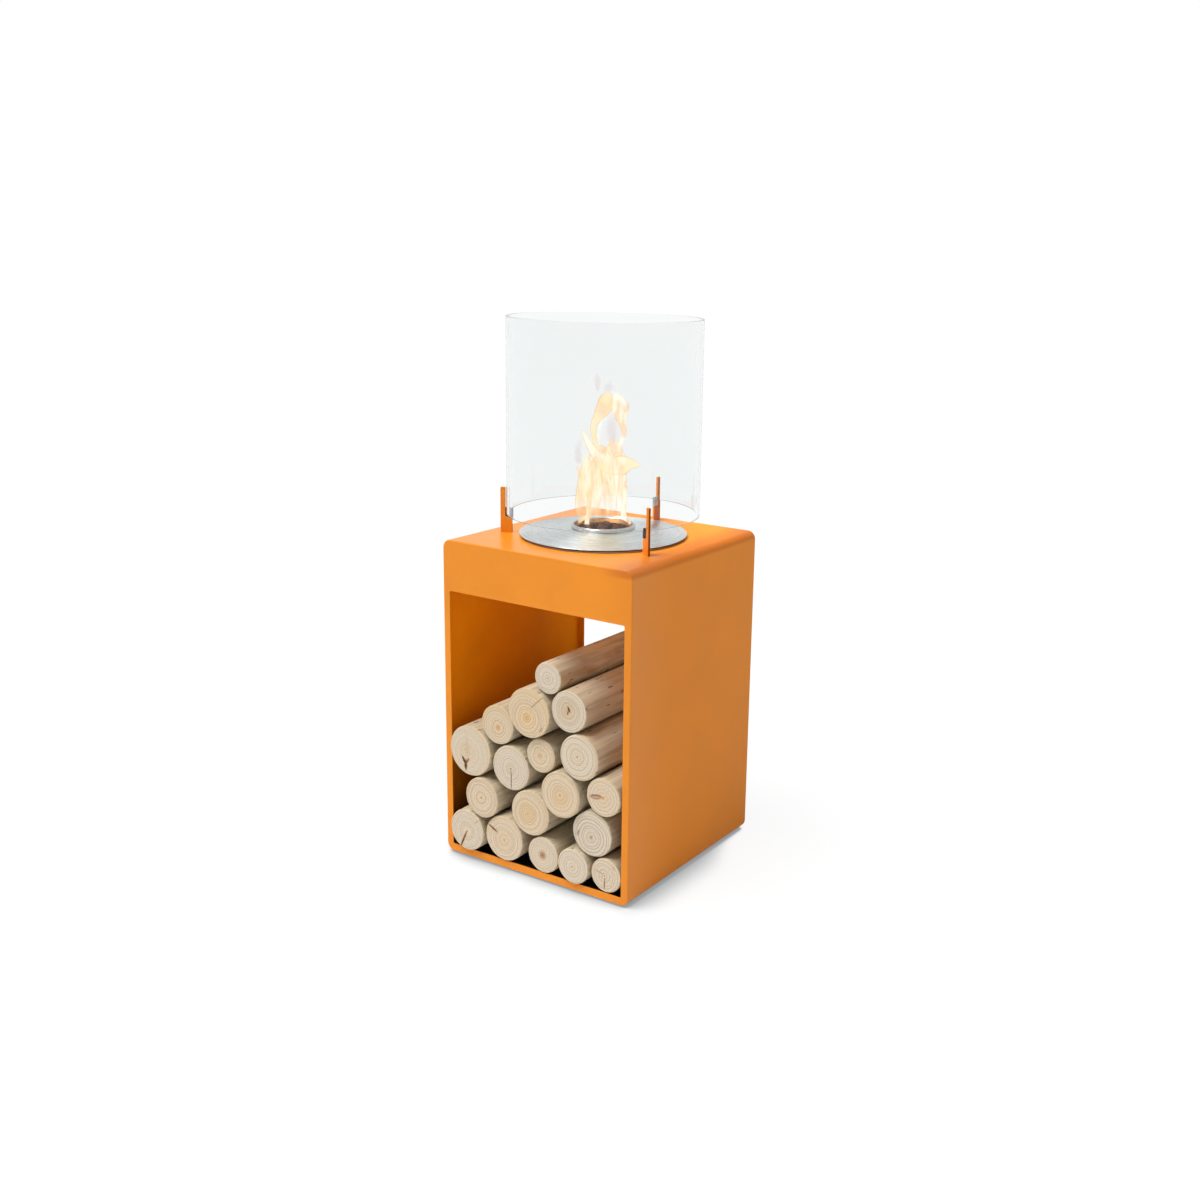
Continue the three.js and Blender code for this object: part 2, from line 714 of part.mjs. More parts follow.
/** The directions in which a log touches the lips, the walls and its neighbours. */
function touchAngles(log, logs) {
  const touches = (room) => room < log.radius + 2 * LOG_GAP;
  const angles = logs
    .filter((other) => other !== log && touches(Math.hypot(other.x - log.x, other.z - log.z) - other.radius))
    .map((other) => Math.atan2(other.z - log.z, other.x - log.x));
  if (touches(log.z - bayFloor)) angles.push(-Math.PI / 2);
  if (touches(bayHalfWidth - log.x)) angles.push(0);
  if (touches(bayHalfWidth + log.x)) angles.push(Math.PI);
  return angles;
}

/** One peeled log along Y, full where it touches something and a little hollow between, with eased ends. */
function logBody(log, index, touching) {
  const length = 2 * (halfDepth + LOG_PROUD - LOG_STAGGER);
  const step = FULL_TURN / LOG_SIDES;
  const apart = (a, b) => Math.abs(Math.atan2(Math.sin(a - b), Math.cos(a - b)));
  const full = touching.map((angle) => ({ angle, reach: log.radius }));
  const between = Array.from({ length: LOG_SIDES }, (_, i) => {
    const angle = i * step;
    const dent = (LOG_UNEVENNESS / 2) * (1 + Math.sin(2 * angle + index));
    return { angle, reach: log.radius * (1 - dent) };
  }).filter(({ angle }) => touching.every((other) => apart(angle, other) > step / 2));
  const turnOf = ({ angle }) => (angle + FULL_TURN) % FULL_TURN;
  const ring = [...full, ...between].sort((a, b) => turnOf(a) - turnOf(b));
  const points = ring.map(({ angle, reach }) => [reach * Math.cos(angle), reach * Math.sin(angle)]);
  return pushedBack(outline(points), LOG_END_ROUNDING - length / 2, length / 2 - LOG_END_ROUNDING, {
    bevelEnabled: true,
    bevelThickness: LOG_END_ROUNDING,
    bevelSize: LOG_END_ROUNDING,
    bevelOffset: -LOG_END_ROUNDING,
    bevelSegments: 1,
  });
}

/** The stack of logs, staggered a little from front to back. */
function logStack() {
  const group = new THREE.Group();
  stackedLogs().forEach((log, i, logs) => {
    const name = `log_${String(i + 1).padStart(2, "0")}`;
    const mesh = piece(name, logBody(log, i, touchAngles(log, logs)), peeledWood);
    const step = ((i * LOG_STAGGER_STRIDE) % LOG_STAGGER_STEPS) / (LOG_STAGGER_STEPS - 1);
    mesh.position.set(log.x, LOG_STAGGER * (2 * step - 1), log.z);
    group.add(mesh);
  });
  return group;
}

// Assembly

const fireplace = new THREE.Group();

fireplace.add(
  piece("body_wrap", bodyWrap(), orangeCoat),
  piece("front_frame", faceFrame(-halfDepth), orangeCoat),
  piece("rear_frame", faceFrame(halfDepth - FRAME_SHEET), orangeCoat),
  piece("bay_liner", bayLiner(), blackCoat),
  piece("ceiling_rail_left", ceilingRail(-1), orangeCoat),
  piece("ceiling_rail_right", ceilingRail(1), orangeCoat),
  piece("bay_ceiling", bayCeilingSheet(), orangeCoat),
  piece("burner_pan", burnerPan(), zincSteel),
  piece("plate_gasket", plateGasket(), blackSilicone),
  piece("burner_plate", burnerPlate(), brushedSteel),
  piece("fuel_canister", fuelCanister(), brushedSteel),
  piece("fuel_wool", fuelWool(), ceramicWool),
  piece("stone_grate", stoneGrate(), zincSteel),
  piece("glass_cylinder", glassCylinder(), clearGlass),
  stones(),
  logStack(),
);

const corners = [-1, 1].flatMap((x) => [-1, 1].map((y) => [x, y]));
corners.forEach(([x, y], i) => {
  const foot = piece(`foot_${i + 1}`, footPad(), blackSilicone);
  foot.position.set(x * (halfWidth - FOOT_INSET), y * (halfDepth - FOOT_INSET), 0);
  const screw = piece(`ceiling_screw_${i + 1}`, ceilingScrew(), zincSteel);
  screw.position.set(x * screwX, y * screwY, 0);
  fireplace.add(foot, screw);
});

for (const [place, angle] of Object.entries(BRACKETS)) fireplace.add(bracketGroup(place, angle));

export default fireplace;
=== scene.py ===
"""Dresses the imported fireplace: fine shapes, finishes, firewood, glass, flame, floor, light and camera."""

import logging
import math
import random
from dataclasses import dataclass, field
from enum import Enum
from typing import Any, Callable, Iterable, Sequence

import bmesh
import bpy
from mathutils import Matrix, Vector, noise

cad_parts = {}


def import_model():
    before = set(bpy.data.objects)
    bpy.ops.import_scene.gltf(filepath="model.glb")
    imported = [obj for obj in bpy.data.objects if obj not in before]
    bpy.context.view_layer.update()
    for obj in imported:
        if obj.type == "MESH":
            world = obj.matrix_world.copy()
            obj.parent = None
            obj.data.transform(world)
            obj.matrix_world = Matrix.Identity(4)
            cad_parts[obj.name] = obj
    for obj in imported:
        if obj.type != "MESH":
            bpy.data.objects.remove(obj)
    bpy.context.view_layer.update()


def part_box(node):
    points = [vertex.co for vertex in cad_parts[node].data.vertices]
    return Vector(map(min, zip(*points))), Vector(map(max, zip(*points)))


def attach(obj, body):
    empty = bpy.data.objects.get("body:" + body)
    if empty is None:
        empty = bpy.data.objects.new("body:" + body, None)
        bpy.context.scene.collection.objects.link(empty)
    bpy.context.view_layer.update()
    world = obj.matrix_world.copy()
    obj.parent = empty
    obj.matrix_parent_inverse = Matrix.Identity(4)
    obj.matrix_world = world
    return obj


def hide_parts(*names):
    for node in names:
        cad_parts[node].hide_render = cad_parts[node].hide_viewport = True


logger = logging.getLogger("fireplace")

FULL_TURN = 2 * math.pi
MM = 0.001
HAIR = 0.001 * MM  # vertices closer than this are one
SLIP = 0.01 * MM  # what a level read from a CAD mesh may be out by
SHARP = math.radians(50)  # an edge that turns more than this is rounded
FLAT = math.radians(1)  # an edge that turns less than this is dissolved
CORNER_STEPS = 8
WHITE = (1.0, 1.0, 1.0)
ACROSS_Y = (1.0, 0.0, 1.0)  # leaves out how far along Y a place is

Color = tuple[float, float, float]
Span = tuple[float, float]
Profile = list[tuple[float, float]]
Socket = bpy.types.NodeSocket
Node = bpy.types.Node
NodeTree = bpy.types.NodeTree
Material = bpy.types.Material
Edge = bmesh.types.BMEdge
Face = bmesh.types.BMFace


class Body(Enum):
    """The CAD bodies that pieces ride on."""

    BODY = "body"
    GLASS = "glass"
    PLATE = "plate"
    CANISTER = "canister"
    TOP_LOG = "top_log"


class Slot(Enum):
    """The record's material slots."""

    COAT = "orange_coat"
    BLACK = "black_coat"
    BRUSHED = "brushed_steel"
    POLISHED = "polished_steel"
    ZINC = "zinc_steel"
    SEAL = "seal"
    WOOL = "ceramic_wool"
    STONE = "dark_stone"
    GLASS = "clear_glass"
    WOOD = "peeled_wood"


class Trim(Enum):
    """Finishes that parts of the pieces in a slot have instead of the slot's own."""

    LINING = "lining"
    HEAT_TINT_AND_GLOW = "heat_tint_and_glow"
    PAINTED_SHADE_SIDE = "painted_shade_side"
    REAR_PAINTED_SHADE_SIDE = "rear_painted_shade_side"
    PALE_SHOE = "pale_shoe"


class Heat(Enum):
    """The kinds of flame, from the dense body to the faint haze round it."""

    BODY = "body"
    PEACH = "peach"
    PALE = "pale"
    HAZE = "haze"
    GLOW = "glow"
    BLUSH = "blush"
    CORE = "core"
    LICK = "lick"


Finishes = dict[Slot | Trim, Material]


# Node trees


class Bench:
    """A node tree being wired."""

    def __init__(self, tree: NodeTree) -> None:
        """Takes the tree that the nodes go into."""
        self.tree = tree

    def add(self, kind: str, inputs: dict[str | int, Any] | None = None, **settings: Any) -> Node:
        """Adds a node and fills its inputs.

        Args:
            kind: The node's type, without its ShaderNode prefix.
            inputs: Socket names or numbers, each with its value.
            settings: Properties of the node.

        Returns:
            The new node.
        """
        node = self.tree.nodes.new(f"ShaderNode{kind}")
        for name, value in settings.items():
            setattr(node, name, value)
        self.fill(node, inputs or {})
        return node

    def fill(self, node: Node, values: dict[str | int, Any]) -> None:
        """Gives values to a node's sockets.

        Args:
            node: The node.
            values: Socket names or numbers, each with a number, a vector, a colour or an output to join.
        """
        for name, value in values.items():
            socket = node.inputs[name]
            if isinstance(value, Socket):
                self.tree.links.new(value, socket)
            elif socket.type == "RGBA":
                socket.default_value = (*value, 1.0)
            else:
                socket.default_value = value

    def math(self, operation: str, first: Any, second: Any = 0.0, third: Any = 0.0) -> Socket:
        """Returns the output of a Math node."""
        return self.add("Math", {0: first, 1: second, 2: third}, operation=operation).outputs[0]

    def plus(self, first: Any, second: Any) -> Socket:
        """Returns a sum."""
        return self.math("ADD", first, second)

    def times(self, first: Any, second: Any) -> Socket:
        """Returns a product."""
        return self.math("MULTIPLY", first, second)

    def vector(self, operation: str, first: Any, second: Any) -> Socket:
        """Returns the vector that a Vector Math node puts out."""
        return self.add("VectorMath", {0: first, 1: second}, operation=operation).outputs[0]

    def stretch(self, vector: Any, scales: tuple[float, float, float]) -> Socket:
        """Returns a vector with its axes scaled."""
        return self.vector("MULTIPLY", vector, scales)

    def length(self, vector: Any) -> Socket:
        """Returns a vector's length."""
        return self.add("VectorMath", {0: vector}, operation="LENGTH").outputs["Value"]

    def axes(self, vector: Any) -> Any:
        """Returns a vector's X, Y and Z."""
        return self.add("SeparateXYZ", {0: vector}).outputs

    def noise(
        self, vector: Any, scale: Any, detail: float, roughness: float = 0.5, output: str = "Fac"
    ) -> Socket:
        """Returns an output of a Noise Texture."""
        inputs = {"Vector": vector, "Scale": scale, "Detail": detail, "Roughness": roughness}
        return self.add("TexNoise", inputs).outputs[output]

    def line_noise(self, value: Any, detail: float) -> Socket:
        """Returns noise along a single value."""
        inputs = {"W": value, "Scale": 1.0, "Detail": detail}
        return self.add("TexNoise", inputs, noise_dimensions="1D").outputs["Fac"]

    def drift(self, vector: Any, scale: float, reach: Any) -> Socket:
        """Moves a vector about by noise.

        Args:
            vector: The vector, which the noise is read at too.
            scale: The noise's scale.
            reach: How far the noise can move it.

        Returns:
            The moved vector.
        """
        shake = self.noise(vector, scale, 2.0, output="Color")
        centred = self.vector("SUBTRACT", shake, (0.5, 0.5, 0.5))
        step = self.add("VectorMath", {0: centred, "Scale": reach}, operation="SCALE").outputs[0]
        return self.vector("ADD", vector, step)

    def remap(
        self, value: Any, low: float, high: float, to_low: float = 0.0, to_high: float = 1.0
    ) -> Socket:
        """Returns a value mapped smoothly from one range to another and held inside it."""
        inputs = {"Value": value, "From Min": low, "From Max": high, "To Min": to_low, "To Max": to_high}
        return self.add("MapRange", inputs, interpolation_type="SMOOTHSTEP").outputs["Result"]

    def between(self, share: Any, first: Any, second: Any) -> Socket:
        """Returns a value between two others."""
        return self.add("Mix", {0: share, 2: first, 3: second}).outputs[0]

    def mix(self, share: Any, first: Any, second: Any, blend: str = "MIX") -> Socket:
        """Returns one colour laid over another by a share."""
        inputs = {0: share, 6: first, 7: second}
        return self.add("Mix", inputs, data_type="RGBA", blend_type=blend).outputs[2]

    def tinted(self, color: Any, filtered: Any) -> Socket:
        """Returns a colour multiplied by another, or by a value."""
        return self.mix(1.0, color, filtered, "MULTIPLY")


class EffectGroup(Bench):
    """A shader node group with a Vector input, other named inputs, and named outputs."""

    def __init__(self, name: str, inputs: dict[str, float], outputs: Sequence[str]) -> None:
        """Makes the group and its sockets.

        Args:
            name: The group's name.
            inputs: The names of its values, each with its default.
            outputs: The names of the values that it puts out.
        """
        super().__init__(bpy.data.node_groups.new(name, "ShaderNodeTree"))
        self.socket("Vector", "INPUT", "Vector")
        for title, default in inputs.items():
            self.socket(title, "INPUT", "Float").default_value = default
        for title in outputs:
            self.socket(title, "OUTPUT", "Float")
        self.source = self.tree.nodes.new("NodeGroupInput").outputs
        self.sink = self.tree.nodes.new("NodeGroupOutput")

    def socket(self, name: str, side: str, kind: str) -> bpy.types.NodeTreeInterfaceSocket:
        """Returns a new socket on one side of the group."""
        return self.tree.interface.new_socket(name=name, in_out=side, socket_type=f"NodeSocket{kind}")

    def put_out(self, values: dict[str, Socket]) -> NodeTree:
        """Joins values to the group's outputs and returns its tree."""
        self.fill(self.sink, values)
        return self.tree


class Effects:
    """The effects that several finishes share, each built once."""

    def __init__(self) -> None:
        """Builds the groups."""
        self.mottle = self.build_mottle()
        self.circular_brush = self.build_circular_brush()
        self.growth_rings = self.build_growth_rings()
        self.long_grain = self.build_long_grain()

    @staticmethod
    def build_mottle() -> NodeTree:
        """Makes soft cloudy patches and a fine skin.

        Returns:
            The group.
        """
        group = EffectGroup("mottle", {"Cloud Scale": 12.0, "Skin Scale": 900.0}, ["Clouds", "Skin"])
        source = group.source
        clouds = group.noise(source["Vector"], source["Cloud Scale"], 4.0)
        skin = group.noise(source["Vector"], source["Skin Scale"], 2.0)
        return group.put_out({"Clouds": group.remap(clouds, 0.3, 0.7), "Skin": skin})

    @staticmethod
    def build_circular_brush() -> NodeTree:
        """Makes brush lines that run round the Z axis.

        Returns:
            The group.
        """
        group = EffectGroup("circular_brush", {"Line Pitch": 0.0006, "Arc Count": 3.0}, ["Lines", "Sheen"])
        source = group.source
        parts = group.axes(source["Vector"])
        radius = group.length(group.add("CombineXYZ", {"X": parts["X"], "Y": parts["Y"]}).outputs[0])
        across = group.math("DIVIDE", radius, source["Line Pitch"])
        along = group.times(group.math("ARCTAN2", parts["Y"], parts["X"]), source["Arc Count"])
        place = group.add("CombineXYZ", {"X": across, "Y": along}).outputs[0]
        lines = group.noise(place, 1.0, 3.0, 0.7)
        sheen = group.noise(group.stretch(place, (0.12, 0.5, 0.0)), 1.0, 2.0)
        return group.put_out({"Lines": lines, "Sheen": group.remap(sheen, 0.25, 0.75)})

    @staticmethod
    def build_growth_rings() -> NodeTree:
        """Makes the rings of a log whose pith runs along Y through the origin, and the distance from it.

        Returns:
            The group.
        """
        inputs = {"Ring Pitch": 0.003, "Wander": 0.009, "Seed": 0.0}
        group = EffectGroup("growth_rings", inputs, ["Rings", "Fine", "Fibre", "Distance"])
        source = group.source
        flat = group.stretch(source["Vector"], ACROSS_Y)
        bent = group.drift(flat, 22.0, source["Wander"])
        distance = group.length(group.stretch(bent, ACROSS_Y))
        count = group.plus(group.math("DIVIDE", distance, source["Ring Pitch"]), source["Seed"])
        fine = group.line_noise(group.times(count, 2.3), 1.0)
        return group.put_out(
            {
                "Rings": group.remap(group.line_noise(count, 1.5), 0.50, 0.62),
                "Fine": group.remap(fine, 0.46, 0.60),
                "Fibre": group.noise(flat, 420.0, 3.0),
                "Distance": distance,
            }
        )

    @staticmethod
    def build_long_grain() -> NodeTree:
        """Makes streaks, stains and specks of a peeled stem that lies along Y.

        Returns:
            The group.
        """
        group = EffectGroup("long_grain", {}, ["Streaks", "Stains", "Specks"])
        vector = group.source["Vector"]
        layers = {  # scales, detail, roughness, and the span of the noise that is drawn out
            "Streaks": ((150.0, 7.0, 150.0), 5.0, 0.6, (0.3, 0.7)),
            "Stains": ((26.0, 7.0, 26.0), 3.0, 0.5, (0.5, 0.72)),
            "Specks": ((120.0, 26.0, 120.0), 1.0, 0.5, (0.68, 0.76)),
        }
        values = {}
        for name, (scales, detail, roughness, span) in layers.items():
            pattern = group.noise(group.stretch(vector, scales), 1.0, detail, roughness)
            values[name] = group.remap(pattern, *span)
        return group.put_out(values)


class Surface(Bench):
    """A material's node tree, with its Principled shader and its Object coordinates."""

    def __init__(self, material: Material, effects: Effects | None = None) -> None:
        """Takes a new material and turns its nodes on.

        Args:
            material: The material.
            effects: The shared node groups, if its finish uses them.
        """
        material.use_nodes = True
        super().__init__(material.node_tree)
        self.shader = self.tree.nodes["Principled BSDF"]
        self.place = self.add("TexCoord").outputs["Object"]
        self.effects = effects

    def feed(self, values: dict[str, Any]) -> None:
        """Gives values to the shader's own sockets."""
        self.fill(self.shader, values)

    def effect(self, tree: NodeTree, values: dict[str, Any] | None = None) -> Any:
        """Places a shared effect on the piece and returns its outputs."""
        return self.add("Group", {"Vector": self.place, **(values or {})}, node_tree=tree).outputs

    def emboss(self, height: Any, depth: float) -> None:
        """Feeds a height to the shader's normal through a Bump node."""
        bump = self.add("Bump", {"Height": height, "Distance": depth, "Strength": 1.0})
        self.feed({"Normal": bump.outputs["Normal"]})


# Finishes


@dataclass(frozen=True)
class Finish:
    """A finish whose pattern lies on Object coordinates."""

    name: str
    color: Color
    roughness: float = 0.5
    metallic: float = 0.0

    def material(self, effects: Effects) -> Material:
        """Makes the material.

        Args:
            effects: The shared node groups.

        Returns:
            A material with one Principled shader.
        """
        material = bpy.data.materials.new(self.name)
        material.diffuse_color = (*self.color, 1.0)
        surface = Surface(material, effects)
        surface.feed({"Base Color": self.color, "Roughness": self.roughness, "Metallic": self.metallic})
        self.dress(surface)
        return material

    def dress(self, surface: Surface) -> None:
        """Wires the finish's pattern to the shader."""

    def shade(self, factor: float) -> Color:
        """Returns the finish's colour made lighter or darker."""
        return tuple(min(1.0, channel * factor) for channel in self.color)

    def toned(self, surface: Surface, share: Any, shades: Span) -> Socket:
        """Returns the finish's colour between two shades of it."""
        return surface.mix(share, *(self.shade(factor) for factor in shades))


@dataclass(frozen=True)
class Coat(Finish):
    """Powder coat, silicone or plain coated metal: faint clouds and a fine skin.

    It can be matt towards the body's rear right corner. Painted shade gives it a deeper colour on the right
    of the top, on its bend and a little on the right side, and darkens it low down in the bay. It is less
    strong in colour where other pieces are lit by it. Reaches and levels are in metres.
    """

    cloud: float = 0.05
    cloud_scale: float = 9.0
    skin_scale: float = 900.0
    skin_depth: float = 0.04 * MM
    roughness_spread: float = 0.06
    index: float = 1.5
    far_matt: float = 0.0
    matt_reach: Span = (-0.03, 0.15)
    painted_far_shade: float = 0.0
    shade_reach: Span = (0.125, 0.19)
    top_levels: Span = (0.5685, 0.5765)
    side_share: float = 0.2
    painted_shade_color: Color = (0.50, 0.10, 0.004)
    painted_low_shade: float = 0.0
    low_levels: Span = (0.05, 0.36)
    bounce: float = 0.0
    bounce_color: Color = (0.88, 0.56, 0.30)

    def dress(self, surface: Surface) -> None:
        """Wires the clouds, the skin and the painted shade.

        Args:
            surface: The material being wired.
        """
        scales = {"Cloud Scale": self.cloud_scale, "Skin Scale": self.skin_scale}
        pattern = surface.effect(surface.effects.mottle, scales)
        clouds, axes = pattern["Clouds"], surface.axes(surface.place)
        tint = self.toned(surface, clouds, (1 - self.cloud, 1 + self.cloud))
        # painted shade: darker low down in the bay, where shade falls
        if self.painted_low_shade:
            painted_dimming = surface.remap(axes["Z"], *self.low_levels, 1 - self.painted_low_shade, 1.0)
            tint = surface.tinted(tint, painted_dimming)
        # painted shade: a deeper colour on the right of the top and its bend, and a little on the right side
        if self.painted_far_shade:
            right = surface.remap(axes["X"], *self.shade_reach, 0.0, self.painted_far_shade)
            top = surface.remap(axes["Z"], *self.top_levels, self.side_share, 1.0)
            tint = surface.mix(surface.times(right, top), tint, self.painted_shade_color)
        if self.bounce:
            bounced = surface.times(surface.add("LightPath").outputs["Is Diffuse Ray"], self.bounce)
            tint = surface.mix(bounced, tint, self.bounce_color)
        spread = self.roughness * self.roughness_spread
        rough = surface.remap(clouds, 0.0, 1.0, self.roughness - spread, self.roughness + spread)
        if self.far_matt:
            far = surface.plus(axes["X"], axes["Y"])
            rough = surface.plus(rough, surface.remap(far, *self.matt_reach, 0.0, self.far_matt))
        surface.feed({"Base Color": tint, "Roughness": rough, "IOR": self.index})
        surface.emboss(pattern["Skin"], self.skin_depth)


@dataclass(frozen=True)
class TurnedSteel(Finish):
    """Steel brushed in circles round the Z axis."""

    metallic: float = 1.0
    line_pitch: float = 0.6 * MM
    line_depth: float = 0.03 * MM
    line_span: Span = (0.3, 0.7)
    sheen_shades: Span = (0.88, 1.1)
    line_shades: Span = (0.9, 1.08)
    roughness_spread: float = 0.2
    anisotropy: float = 0.75
    quarter_turn: float = 0.25

    def dress(self, surface: Surface) -> None:
        """Wires the brush lines and the sheen along them.

        Args:
            surface: The material being wired.
        """
        pattern = surface.effect(surface.effects.circular_brush, {"Line Pitch": self.line_pitch})
        lines = pattern["Lines"]
        soft = self.toned(surface, pattern["Sheen"], self.sheen_shades)
        fine = surface.remap(lines, *self.line_span, *self.line_shades)
        spread = self.roughness * self.roughness_spread
        rough = surface.remap(lines, *self.line_span, self.roughness - spread, self.roughness + spread)
        round_z = surface.add("Tangent", direction_type="RADIAL", axis="Z").outputs["Tangent"]
        surface.feed(
            {
                "Base Color": surface.tinted(soft, fine),
                "Roughness": rough,
                "Anisotropic": self.anisotropy,
                "Anisotropic Rotation": self.quarter_turn,
                "Tangent": round_z,
            }
        )
        surface.emboss(lines, self.line_depth)


@dataclass(frozen=True)
class Rock(Finish):
    """Rough dark stone."""

    scales: Span = (130.0, 700.0)
    shades: Span = (0.45, 1.9)
    gloss: float = 0.2
    depth: float = 0.8 * MM

    def dress(self, surface: Surface) -> None:
        """Wires dark and light patches and a rough skin.

        Args:
            surface: The material being wired.
        """
        patches, skin = self.scales
        pattern = surface.effect(surface.effects.mottle, {"Cloud Scale": patches, "Skin Scale": skin})
        tint = self.toned(surface, pattern["Clouds"], self.shades)
        surface.feed({"Base Color": tint, "Specular IOR Level": self.gloss})
        surface.emboss(surface.plus(pattern["Clouds"], pattern["Skin"]), self.depth)


@dataclass(frozen=True)
class Wool(Finish):
    """Soft pale fibre."""

    shades: Span = (0.8, 1.1)
    sheen: float = 0.4
    depth: float = 1 * MM

    def dress(self, surface: Surface) -> None:
        """Wires the fibres.

        Args:
            surface: The material being wired.
        """
        fibres = surface.effect(surface.effects.long_grain)["Streaks"]
        tint = self.toned(surface, fibres, self.shades)
        surface.feed({"Base Color": tint, "Sheen Weight": self.sheen})
        surface.emboss(fibres, self.depth)


@dataclass(frozen=True)
class ClearGlass(Finish):
    """Clear float glass with a faint cool tint."""

    index: float = 1.33
    cloud_scale: float = 3.0
    shades: Span = (0.997, 1.003)

    def dress(self, surface: Surface) -> None:
        """Wires the tint.

        Args:
            surface: The material being wired.
        """
        pattern = surface.effect(surface.effects.mottle, {"Cloud Scale": self.cloud_scale})
        tint = self.toned(surface, pattern["Clouds"], self.shades)
        surface.feed({"Base Color": tint, "Transmission Weight": 1.0, "IOR": self.index})


@dataclass(frozen=True)
class Mark:
    """A crack, hole, scar or patch on a log's end; places and sizes are shares of its radius."""

    place: tuple[float, float]
    angle: float
    length: float
    width: float
    color: Color = (0.13, 0.05, 0.02)
    strength: float = 1.0
    softness: float = 0.35


@dataclass(frozen=True)
class LogWood(Finish):
    """One peeled log along Y: rings, pith, cracks and scars on its ends, grain and stains on its side."""

    centre: tuple[float, float, float] = (0.0, 0.0, 0.0)
    radius: float = 40 * MM
    pith: tuple[float, float] = (0.0, 0.0)
    marks: tuple[Mark, ...] = ()
    crack_depth: float = 1.2 * MM
    wobble: float = 2.2 * MM
    wobble_scale: float = 260.0
    gloss: float = 0.2
    seed_scales: Span = (900.0, 400.0)

    ring_pitch: float = 2.1 * MM
    ring_strength: float = 0.3
    ring_weight: float = 1.45
    ring_depth: float = 0.2
    ring_color: Color = (0.40, 0.25, 0.13)
    fine_colors: tuple[Color, Color] = ((1.03, 1.03, 1.03), (0.93, 0.85, 0.74))
    fibre_span: Span = (0.3, 0.7)
    fibre_shades: Span = (0.86, 1.06)

    end_color: Color = (0.80, 0.70, 0.56)
    gold_color: Color = (0.78, 0.55, 0.30)
    gold: float = 0.2
    gold_reach: float = 0.75
    gold_left: float = 0.15
    rim: float = 0.4
    rim_start: float = 0.8
    rim_shade: float = 0.85
    heart_color: Color = (0.26, 0.11, 0.05)
    heart_radius: float = 1.5 * MM
    heart_core: float = 0.5
    heart_strength: float = 0.9
    end_slope: Span = (0.6, 0.85)

    middle_color: Color = (0.91, 0.87, 0.73)
    end_brown_reach: Span = (0.06, 0.19)
    streak_shades: Span = (0.82, 1.10)
    streak_depth: float = 0.35
    stain: float = 0.4
    stain_color: Color = (0.54, 0.38, 0.23)
    speck: float = 0.75
    speck_color: Color = (0.12, 0.065, 0.035)

    def dress(self, surface: Surface) -> None:
        """Wires the ends and the side, and lays each on the faces that look its way.

        Args:
            surface: The material being wired.
        """
        to_centre = tuple(-value for value in self.centre)
        at_axis = surface.add("Mapping", {"Vector": surface.place, "Location": to_centre}).outputs[0]
        to_pith = (-self.pith[0] * self.radius, 0.0, -self.pith[1] * self.radius)
        at_pith = surface.add("Mapping", {"Vector": at_axis, "Location": to_pith}).outputs[0]
        seed = self.centre[0] * self.seed_scales[0] + self.centre[2] * self.seed_scales[1]
        values = {"Vector": at_pith, "Ring Pitch": self.ring_pitch, "Seed": seed}
        rings = surface.effect(surface.effects.growth_rings, values)
        end = self.end_tint(surface, rings)
        dug = surface.times(rings["Rings"], self.ring_depth)
        for mark in self.marks:
            mask = self.mask_of(surface, at_axis, mark)
            end = surface.mix(mask, end, mark.color)
            dug = surface.plus(dug, surface.times(mask, mark.strength))
        grain = surface.effect(surface.effects.long_grain)
        side = self.side_tint(surface, grain)
        facing = surface.axes(surface.add("NewGeometry").outputs["Normal"])["Y"]
        on_end = surface.remap(surface.math("ABSOLUTE", facing), *self.end_slope)
        surface.feed({"Base Color": surface.mix(on_end, side, end), "Specular IOR Level": self.gloss})
        raised = surface.times(grain["Streaks"], self.streak_depth)
        surface.emboss(surface.between(on_end, raised, surface.times(dug, -1.0)), self.crack_depth)

    def mask_of(self, surface: Surface, at_axis: Socket, mark: Mark) -> Socket:
        """Makes the mask of a mark, an uneven ellipse.

        Args:
            surface: The material being wired.
            at_axis: Coordinates from the log's axis.
            mark: The mark.

        Returns:
            The mask.
        """
        moved = surface.drift(at_axis, self.wobble_scale, self.wobble)
        inputs = {
            "Vector": moved,
            "Location": (mark.place[0] * self.radius, 0.0, mark.place[1] * self.radius),
            "Rotation": (0.0, -math.radians(mark.angle), 0.0),
            "Scale": (mark.length * self.radius / 2, 1.0, mark.width * self.radius / 2),
        }
        local = surface.add("Mapping", inputs, vector_type="TEXTURE").outputs[0]
        reach = surface.length(surface.stretch(local, ACROSS_Y))
        return surface.remap(reach, 1.0 - mark.softness, 1.0 + mark.softness, mark.strength, 0.0)

    def end_tint(self, surface: Surface, rings: Any) -> Socket:
        """Makes the colour of a sawn end without its marks.

        Args:
            surface: The material being wired.
            rings: The outputs of the growth rings.

        Returns:
            The colour.
        """
        distance = rings["Distance"]
        gold_end = self.radius * self.gold_reach
        golden = surface.remap(distance, 0.0, gold_end, self.gold, self.gold * self.gold_left)
        warmed = surface.mix(golden, self.end_color, self.gold_color)
        fibre = surface.remap(rings["Fibre"], *self.fibre_span, *self.fibre_shades)
        pale = surface.tinted(surface.tinted(warmed, fibre), surface.mix(rings["Fine"], *self.fine_colors))
        drawn = surface.times(rings["Rings"], self.ring_strength * self.ring_weight)
        lined = surface.mix(drawn, pale, self.ring_color)
        edge = surface.remap(distance, self.radius * self.rim_start, self.radius, 0.0, self.rim)
        rimmed = surface.mix(edge, lined, tuple(channel * self.rim_shade for channel in self.gold_color))
        core = self.heart_radius * self.heart_core
        heart = surface.remap(distance, core, self.heart_radius, self.heart_strength, 0.0)
        return surface.mix(heart, rimmed, self.heart_color)

